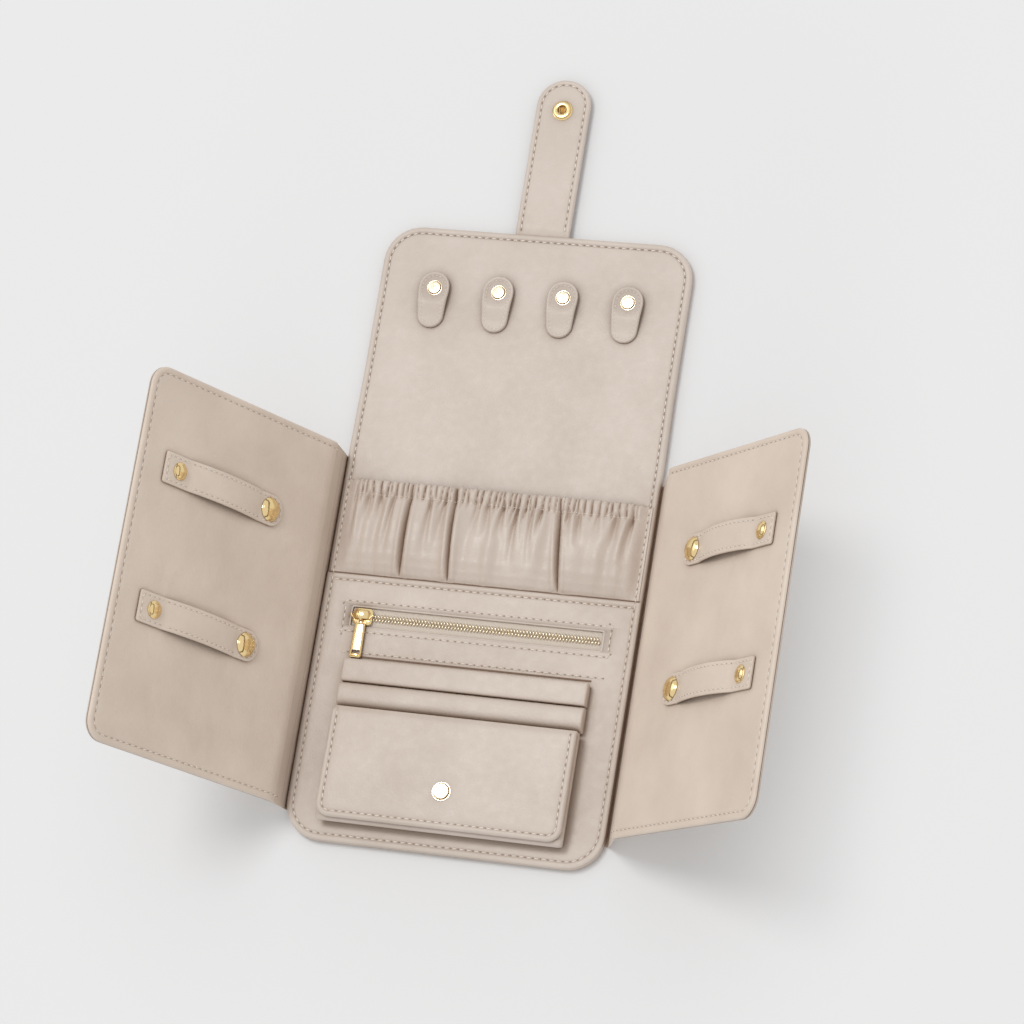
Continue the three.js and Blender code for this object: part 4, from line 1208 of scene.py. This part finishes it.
def snap_cap(name, radius, thick, recess, place, domed):
    """A pressed snap cap: a dome with a rolled rim, or a flat disc on a short neck over a thin ring."""
    hole, depth = recess
    under = [(0, depth), (hole, depth), (hole, 0), (radius * 0.95, 0)]
    shoulder = (
        [(1.0, 0.05), (1.02, 0.14), (1.0, 0.24), (0.955, 0.32), (0.92, 0.5), (0.83, 0.7), (0.7, 0.87),
         (0.53, 1.01), (0.34, 1.1), (0.16, 1.15), (0, 1.16)]
        if domed else
        [(1.02, 0.02), (1.06, 0.1), (1.05, 0.2), (0.99, 0.25), (0.95, 0.2), (0.74, 0.2), (0.74, 0.5),
         (0.78, 0.58), (0.85, 0.61), (0.885, 0.68), (0.885, 0.86), (0.86, 0.94), (0.81, 0.99), (0.73, 1.0),
         (0, 1.01)]
    )
    finish = gold if domed else gold_painted_paler
    return lathe(name, under + [(radius * r, thick * t) for r, t in shoulder], place, finish)


def flat_snap(name, radius, thick, recess, place, body, node):
    """A flat cap. The floor of the groove under its head is a dark brass ring: painted shade under the
    head.
    """
    fit(snap_cap(name, radius, thick, recess, place, False), body, "gold_metal", node)
    floor = [(0, 0.21), (0.96, 0.21), (0.97, 0.27), (0.9, 0.3), (0, 0.3)]
    ring = [(radius * r, thick * t) for r, t in floor]
    fit(lathe(f"{name}_groove", ring, place, shaded_brass), body, "gold_metal")


CAP_LEVEL = 21.2 + cushion(0.0, POUCH_SNAP)
flat_snap(
    "small_pouch_cap", 5.2, 1.7, (3.0, 0.4),
    lambda x, y, z: on_table(x, POUCH_SNAP + y, CAP_LEVEL + z), "pouch_flap", "pouch_cap",
)

# Fold strips: on each side a strip of cover leather joins the centre panel to its wing. It is creased along
# both edges, stands up beside the panel when the pouch is open and makes room for the jewelry when shut.
WING_LOW, WING_HIGH = 15.0, 230.0
WING_MIDDLE = (WING_LOW + WING_HIGH) / 2
WING_REACH = 151.0
WING_SEAM = 4.0
FOLD_X = 96.0
STRIP_Z = 0.7
STRIP_SLANT = 1.2
WING_ROLL = 8.0
WING_DROP = 1.6
SIDES = {
    "left": {"side": -1, "strip": 25.7, "strip_angle": 90.0, "wing_angle": 63.0, "bow": 3.2},
    "right": {"side": 1, "strip": 35.7, "strip_angle": 73.0, "wing_angle": 48.0, "bow": 4.0},
}


def direction(side, degrees):
    """Outwards and up in the X-Z plane."""
    a = math.radians(degrees)
    return Vector((side * math.cos(a), 0.0, math.sin(a)))


def raised(spot, ahead, side, across, height):
    """A point at a height over a strip or wing that runs ahead from a spot."""
    point = spot + Vector((-side * ahead.z, 0.0, side * ahead.x)) * height
    return Vector((point.x, WING_MIDDLE + across - Y_SHIFT, point.z)) * MM


def creased(corner, before, after, side, radius=1.1):
    """Places a strip that runs along one direction, turns at the crease and runs on along the other."""
    turn = before.angle(after)
    half_arc = radius * turn / 2
    tangent = radius * math.tan(turn / 2)
    sign = 1 if before.cross(after).y < 0 else -1

    def place(across, along, height):
        if along <= -half_arc:
            spot, ahead = corner - before * (tangent - half_arc - along), before
        elif along >= half_arc:
            spot, ahead = corner + after * (tangent - half_arc + along), after
        else:
            share = (along + half_arc) / (2 * half_arc)
            ahead = Matrix.Rotation(-sign * turn * share, 3, "Y") @ before
            spot = corner - before * tangent
            steps = 6
            for k in range(steps):
                part = share * (k + 0.5) / steps
                spot = spot + (Matrix.Rotation(-sign * turn * part, 3, "Y") @ before) * (
                    2 * half_arc * share / steps
                )
        return raised(spot, ahead, side, across, height)
    return place


for name, made in SIDES.items():
    side, strip = made["side"], made["strip"]
    outwards = Vector((side, 0.0, 0.0))
    up = direction(side, made["strip_angle"])
    wing_way = direction(side, made["wing_angle"])
    low_fold = Vector((side * FOLD_X, 0.0, STRIP_Z))
    high_fold = low_fold + up * strip
    made["fold"], made["way"] = high_fold, wing_way
    rings = [(0.5, -0.55), (0.12, -0.5), (0.0, -0.2), (0.0, 0.25), (0.15, 0.5), (0.6, 0.6), (2.4, 0.6)]
    half = (WING_HIGH - WING_LOW) / 2
    for part, corner, before, after, start, end, bend, below in (
        ("low", low_fold, outwards, up, -2.0, strip / 2, 1.1, 0.0),
        ("high", high_fold, up, wing_way, -strip / 2, 5.2, 18.0, strip),
    ):
        def strip_half(along, half=half, strip=strip, below=below):
            """The strip's ends are cut on a slant, shorter where it meets the panel's round corners."""
            share = clamp((along + below) / strip)
            return half - STRIP_SLANT * (1 - share) ** 1.5

        edge = outline(strip_half, start, end, step=0.55, near_open=True, far_open=True)
        piece = leaf(
            f"{name}_fold_strip_{part}", edge, rings,
            creased(corner, before, after, side, bend), strip_leather_painted_darker,
        )
        bodies = ("base", f"{name}_gusset") if part == "low" else (f"{name}_gusset", f"{name}_wing")
        ends = [Vector((p.x, 0.0, p.z)) * MM for p in (corner - before * 1.3, corner + after * 1.3)]
        fold(piece, *bodies, *ends, "outer_leather", *([f"{name}_gusset"] if part == "low" else []))

# Wings: stiff flaps of cover and lining leather, turned in and sewn together along the three free edges.
# Each carries two straps for bracelets and earrings.
for name, made in SIDES.items():
    def on_wing(across, along, height, side=made["side"], way=made["way"], origin=made["fold"]):
        """A point of the wing, by its distance from the fold line and its height over the cover."""
        return raised(origin + way * along, way, side, across, height)

    made["place"] = on_wing
    wing_edge = outline(
        (WING_HIGH - WING_LOW) / 2, 0.6, WING_REACH, 0.0, 12.0, step=1.5, near_open=True,
    )

    def rolled_wing(across, along, height, place=on_wing):
        """Towards the fold the lining comes down to the fold strip in a soft roll."""
        near = max(0.0, WING_ROLL - along)
        drop = WING_DROP * max(0.0, height - 0.6) / 2.3 * (near / WING_ROLL) ** 2
        return place(across, along, height - drop)

    for part, levels, place, material, finish in (
        ("lining", (0.95, 0.85, 2.9), rolled_wing, wing_leather_painted_lighter, "inner_leather"),
        ("cover", (0.7, 0.8, -0.7), on_wing, cover_leather, "outer_leather"),
    ):
        rings = turned_edge(*levels, groove=WING_SEAM, wall=1.0, puff=0.22)
        skin = leaf(f"{name}_wing_{part}_skin", wing_edge, rings, place, material, cols=2)
        fit(skin, f"{name}_wing", finish, f"{name}_wing_{part}")
    stitches = sew(f"{name}_wing_stitches", [
        seam_path(wing_edge, WING_SEAM, height, rolled_wing, "far") for height in (2.6, -0.44)
    ], pitch=4.6, thickness=0.8, hole=0.65)
    fit(stitches, f"{name}_wing", "inner_leather")

# Straps: lined strips of the same leather, stitched all round. The square end is sewn and riveted to the
# wing, the middle stands up in a bow for what hangs on it, and a large domed snap holds the round end.
STRAP_NEAR, STRAP_FAR, STRAP_HALF = 37.0, 132.0, 9.0
STRAP_SNAP, STRAP_RIVET, STRAP_HINGE = 47.5, 120.5, 112.0
STRAP_START = 55.9
STRAP_Z = 3.1
STRAP_ROWS = {"upper": 175.0, "lower": 95.0}


def bow(along, rise):
    """How far the strap stands off the wing."""
    share = (along - STRAP_START) / (STRAP_HINGE - STRAP_START)
    return rise * math.sin(math.pi * share) ** 0.75 if 0 < share < 1 else 0.0


for name, made in SIDES.items():
    for row, level in STRAP_ROWS.items():
        strap_name = f"{name}_strap_{row}"

        def on_strap(across, along, height, place=made["place"], level=level, rise=made["bow"]):
            return place(level - WING_MIDDLE + across, along, STRAP_Z + bow(along, rise) + height)

        strap_edge = outline(STRAP_HALF, STRAP_NEAR, STRAP_FAR, STRAP_HALF, 1.2, step=2.0)
        strap = leaf(
            f"{strap_name}_leather", strap_edge,
            [(2.0, 0.0), (0.35, 0.05), (0.0, 0.35), (0.0, 0.95), (0.2, 1.3), (0.7, 1.5), (1.5, 1.52),
             (2.1, 1.4), (2.7, 1.5), (3.6, 1.56), (5.0, 1.58)],
            on_strap, wing_leather_painted_lighter, cols=2,
        )
        ends = [made["place"](0, along, STRAP_Z) for along in (STRAP_HINGE + 2.5, STRAP_HINGE - 2.5)]
        ends = [Vector((p.x, (level - Y_SHIFT) * MM, p.z)) for p in ends]
        fold(
            strap, f"{name}_wing", strap_name, *ends, "inner_leather", strap_name, f"{strap_name}_end",
        )
        right = strap_edge(2.1)
        left = [(-w, v) for w, v in right[::-1]]
        loose = [(w, v) for w, v in left + right if v < STRAP_HINGE - 3.0]
        sewn = [(w, v) for w, v in right + left if v > STRAP_HINGE + 3.0]
        for part, body, line in (("loose", strap_name, loose), ("sewn", f"{name}_wing", sewn)):
            path = [on_strap(u, v, 1.42) for u, v in line]
            stitches = sew(
                f"{strap_name}_stitches_{part}", [path], pitch=3.8, length=2.7, thickness=0.7, hole=0.5,
            )
            fit(stitches, body, "inner_leather")
        cap = snap_cap(
            f"{strap_name}_dome", 6.8, 2.7, (3.0, 0.3),
            lambda x, y, z, place=on_strap: place(x, STRAP_SNAP + y, 1.56 + z), True,
        )
        fit(cap, strap_name, "gold_metal", f"{strap_name}_cap")
        rivet = lathe(
            f"{strap_name}_rivet_head",
            [(0, 0), (4.6, 0), (5.0, 0.15), (5.0, 0.45), (4.6, 0.72), (4.1, 0.8), (3.75, 0.95),
             (3.3, 1.4), (2.5, 1.78), (1.4, 2.0), (0, 2.08)],
            lambda x, y, z, place=on_strap: place(x, STRAP_RIVET + y, 1.5 + z), gold,
        )
        fit(rivet, f"{name}_wing", "gold_metal", f"{strap_name}_rivet")

# Flap: a board between the quilted cover and the lining, like the centre panel, with round outer corners.
FLAP_TOP = 373.7
FLAP_QUILT = 303.0  # the quilting starts here
flap_outline, lapped_outline = (
    outline(spine_half, low, FLAP_TOP, 0.0, CORNER, step=3.0, near_open=True)
    for low in (SPINE_MID, SPINE_MID - LAP)
)


def under_lap(across, along, height):
    """The flap's half of the lining slips a hair under the centre panel's half."""
    return on_table(across, along, height - (0.04 if along < SPINE_MID + LAP else 0.0))


flap_lining = leaf(
    "flap_lining_skin", lapped_outline, turned_edge(4.6, 3.05, INNER), under_lap, lining_leather, cols=2,
)
fold(flap_lining, "spine", "flap", *fold_high, "inner_leather", "flap_lining")
flap_cover = leaf(
    "flap_cover_skin", flap_outline, turned_edge(1.4, 2.95, 0.0), on_table, cover_leather, cols=84,
)
quilt(flap_cover, FLAP_QUILT, FLAP_TOP - 5.5)
fold(flap_cover, "spine", "flap", *fold_high, "outer_leather", "flap_cover", "spine")
flap_stitch = sew("flap_stitches", [
    *(seam_path(flap_outline, SEAM_IN, level, on_table, "far") for level in (LINING_SEAM, COVER_SEAM)),
    *quilt_paths(FLAP_QUILT, FLAP_TOP - 6.0),
])
fold(flap_stitch, "spine", "flap", *fold_high, "inner_leather")

# Necklace tabs: four small padded tongues with a flat gold snap. The narrow lower end is sewn to the flap,
# and a chain hangs under the tongue.
NECK_XS = (-59.1, -19.7, 19.7, 59.1)
NECK_LOW, NECK_TOP = 311.0, 344.9
NECK_R = 9.2
NECK_FOOT = 7.9
NECK_SNAP = 335.45
NECK_LIFT = 2.4
NECK_HELD, NECK_FREE = 4.6, 10.5  # round the snap the tongue is held down, further out it springs up


def neck_half(along):
    """The tongue widens softly from its sewn foot to its round head."""
    share = clamp((along - NECK_LOW - NECK_FOOT) / 14.0)
    return NECK_FOOT + (NECK_R - NECK_FOOT) * share


def soft_step(share):
    share = clamp(share)
    return share * share * (3 - 2 * share)


def neck_lift(across, along):
    """The tongue rises from its sewn foot, and the snap holds it down in a shallow dip."""
    free = soft_step((math.hypot(across, along - NECK_SNAP) - NECK_HELD) / (NECK_FREE - NECK_HELD))
    return NECK_LIFT * soft_step((along - NECK_LOW - 3.0) / 15.0) * free


neck_edge = outline(neck_half, NECK_LOW, NECK_TOP, NECK_FOOT - 0.15, NECK_R, step=2.0)
for i, x in enumerate(NECK_XS):
    name = f"necklace_tab_{i + 1}"

    def on_tab(across, along, height, x=x):
        return on_table(x + across, along, height + neck_lift(across, along))

    tongue = leaf(
        f"{name}_leather", neck_edge,
        [(2.0, 6.2), (0.5, 6.15), (0.08, 6.5), (0.0, 7.1), (0.1, 7.7), (0.45, 8.2), (1.0, 8.45),
         (1.6, 8.42), (2.2, 8.22), (3.0, 8.3), (4.0, 8.32)],
        on_tab, lining_leather, cols=2,
    )
    fit(tongue, name, "inner_leather", name)
    stitches = sew(
        f"{name}_stitches", [seam_path(neck_edge, 2.2, 8.24, on_tab, "both")],
        pitch=2.4, length=1.7, thickness=0.5, hole=0.0,
    )
    fit(stitches, name, "inner_leather")
    for soft in (tongue, stitches):  # each gets a mesh of its own
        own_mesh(soft)
    flat_snap(
        f"{name}_button", 4.3, 1.3, (2.3, 0.4),
        lambda x, y, z, place=on_tab: place(x, NECK_SNAP + y, 8.3 + z), name, f"{name}_cap",
    )

# Closing tab: a long stiffened tongue sewn in between the flap's cover and lining, stitched round, with a
# gold snap socket on its inner side and the matching cap outside.
TAB_HALF = 16.6
TAB_TOP = 472.4
TAB_FOLD = 375.5
SOCKET_Y = 452.6
tab_edge = outline(TAB_HALF, 368.0, TAB_TOP, 0.0, TAB_HALF, step=2.5, near_open=True)


def on_closing(across, along, height):
    """The tab's root is pressed flat where it goes in under the flap's edge."""
    return on_table(across, along, 3.9 + (height - 3.9) * (0.4 + 0.6 * soft_step((along - 372.0) / 7.0)))


closing = leaf(
    "closing_tab_leather", tab_edge,
    [(5.0, 3.0), (3.2, 3.2), (2.6, 3.0), (0.8, 3.05), (0.15, 3.45), (0.0, 4.2), (0.1, 4.4), (0.0, 4.6),
     (0.12, 5.35), (0.55, 5.95), (1.2, 6.2), (1.9, 6.22), (2.6, 6.02), (3.3, 5.68), (4.0, 5.88),
     (5.0, 6.02), (7.0, 6.02)],
    on_closing, lining_leather, cols=2,
)
tab_fold = (on_table(0, TAB_FOLD - 2.5, 4.5), on_table(0, TAB_FOLD + 3.0, 4.5))
fold(closing, "flap", "closing_tab", *tab_fold, "inner_leather", "closing_tab")
tab_line = outline(TAB_HALF, 378.6, TAB_TOP, 0.0, TAB_HALF, step=2.5, near_open=True)
closing_stitches = sew("closing_tab_stitches", [
    seam_path(tab_line, 3.3, 5.84, on_table, "far"), seam_path(tab_line, 3.3, 3.14, on_table, "far"),
])
fit(closing_stitches, "closing_tab", "inner_leather")


def on_socket(x, y, z):
    return on_table(x, SOCKET_Y + y, 6.02 + z)


socket = lathe(
    "socket_ring",
    [(2.7, 0.05), (2.7, 1.8), (2.85, 2.05), (3.2, 2.2), (4.7, 2.2), (5.2, 2.05), (5.45, 1.7),
     (5.45, 0.9), (5.2, 0.62), (5.3, 0.5), (6.0, 0.42), (6.2, 0.25), (6.15, 0.02), (4.0, 0.0)],
    on_socket, gold, closed=True,
)
fit(socket, "closing_tab", "gold_metal", "closing_socket")
# The cup inside the socket ring is dark brass: painted shade in the socket's hollow
cup = lathe(
    "socket_cup", [(0, 0.02), (2.9, 0.02), (2.9, 0.5), (2.3, 0.24), (1.0, 0.14), (0, 0.14)],
    on_socket, shaded_brass,
)
fit(cup, "closing_tab", "gold_metal")
for spring_name, way in (("socket_spring", -1), ("socket_spring_two", 1)):
    turns = [math.pi * k / 12 for k in range(13)]
    path = [(way * (1.6 + 0.4 * math.cos(a)), 2.3 * math.cos(a), 0.7) for a in turns]
    spring = swept(spring_name, path, 0.22, on_socket, gold, segments=8)
    fit(spring, "closing_tab", "gold_metal")
back_cap = lathe(
    "closing_button",
    [(0, -0.05), (6.2, -0.05), (6.25, -0.5), (6.0, -0.9), (5.3, -1.25), (4.0, -1.5), (2.0, -1.62),
     (0, -1.66)],
    lambda x, y, z: on_table(x, SOCKET_Y + y, 3.0 + z), gold,
)
fit(back_cap, "closing_tab", "gold_metal", "closing_cap")

# Snap studs: small turned posts under each cap, and the larger closing stud on the right wing's outside.
for node_name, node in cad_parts.items():
    if node_name.endswith("_stud"):
        node.data.materials.clear()
        node.data.materials.append(gold)
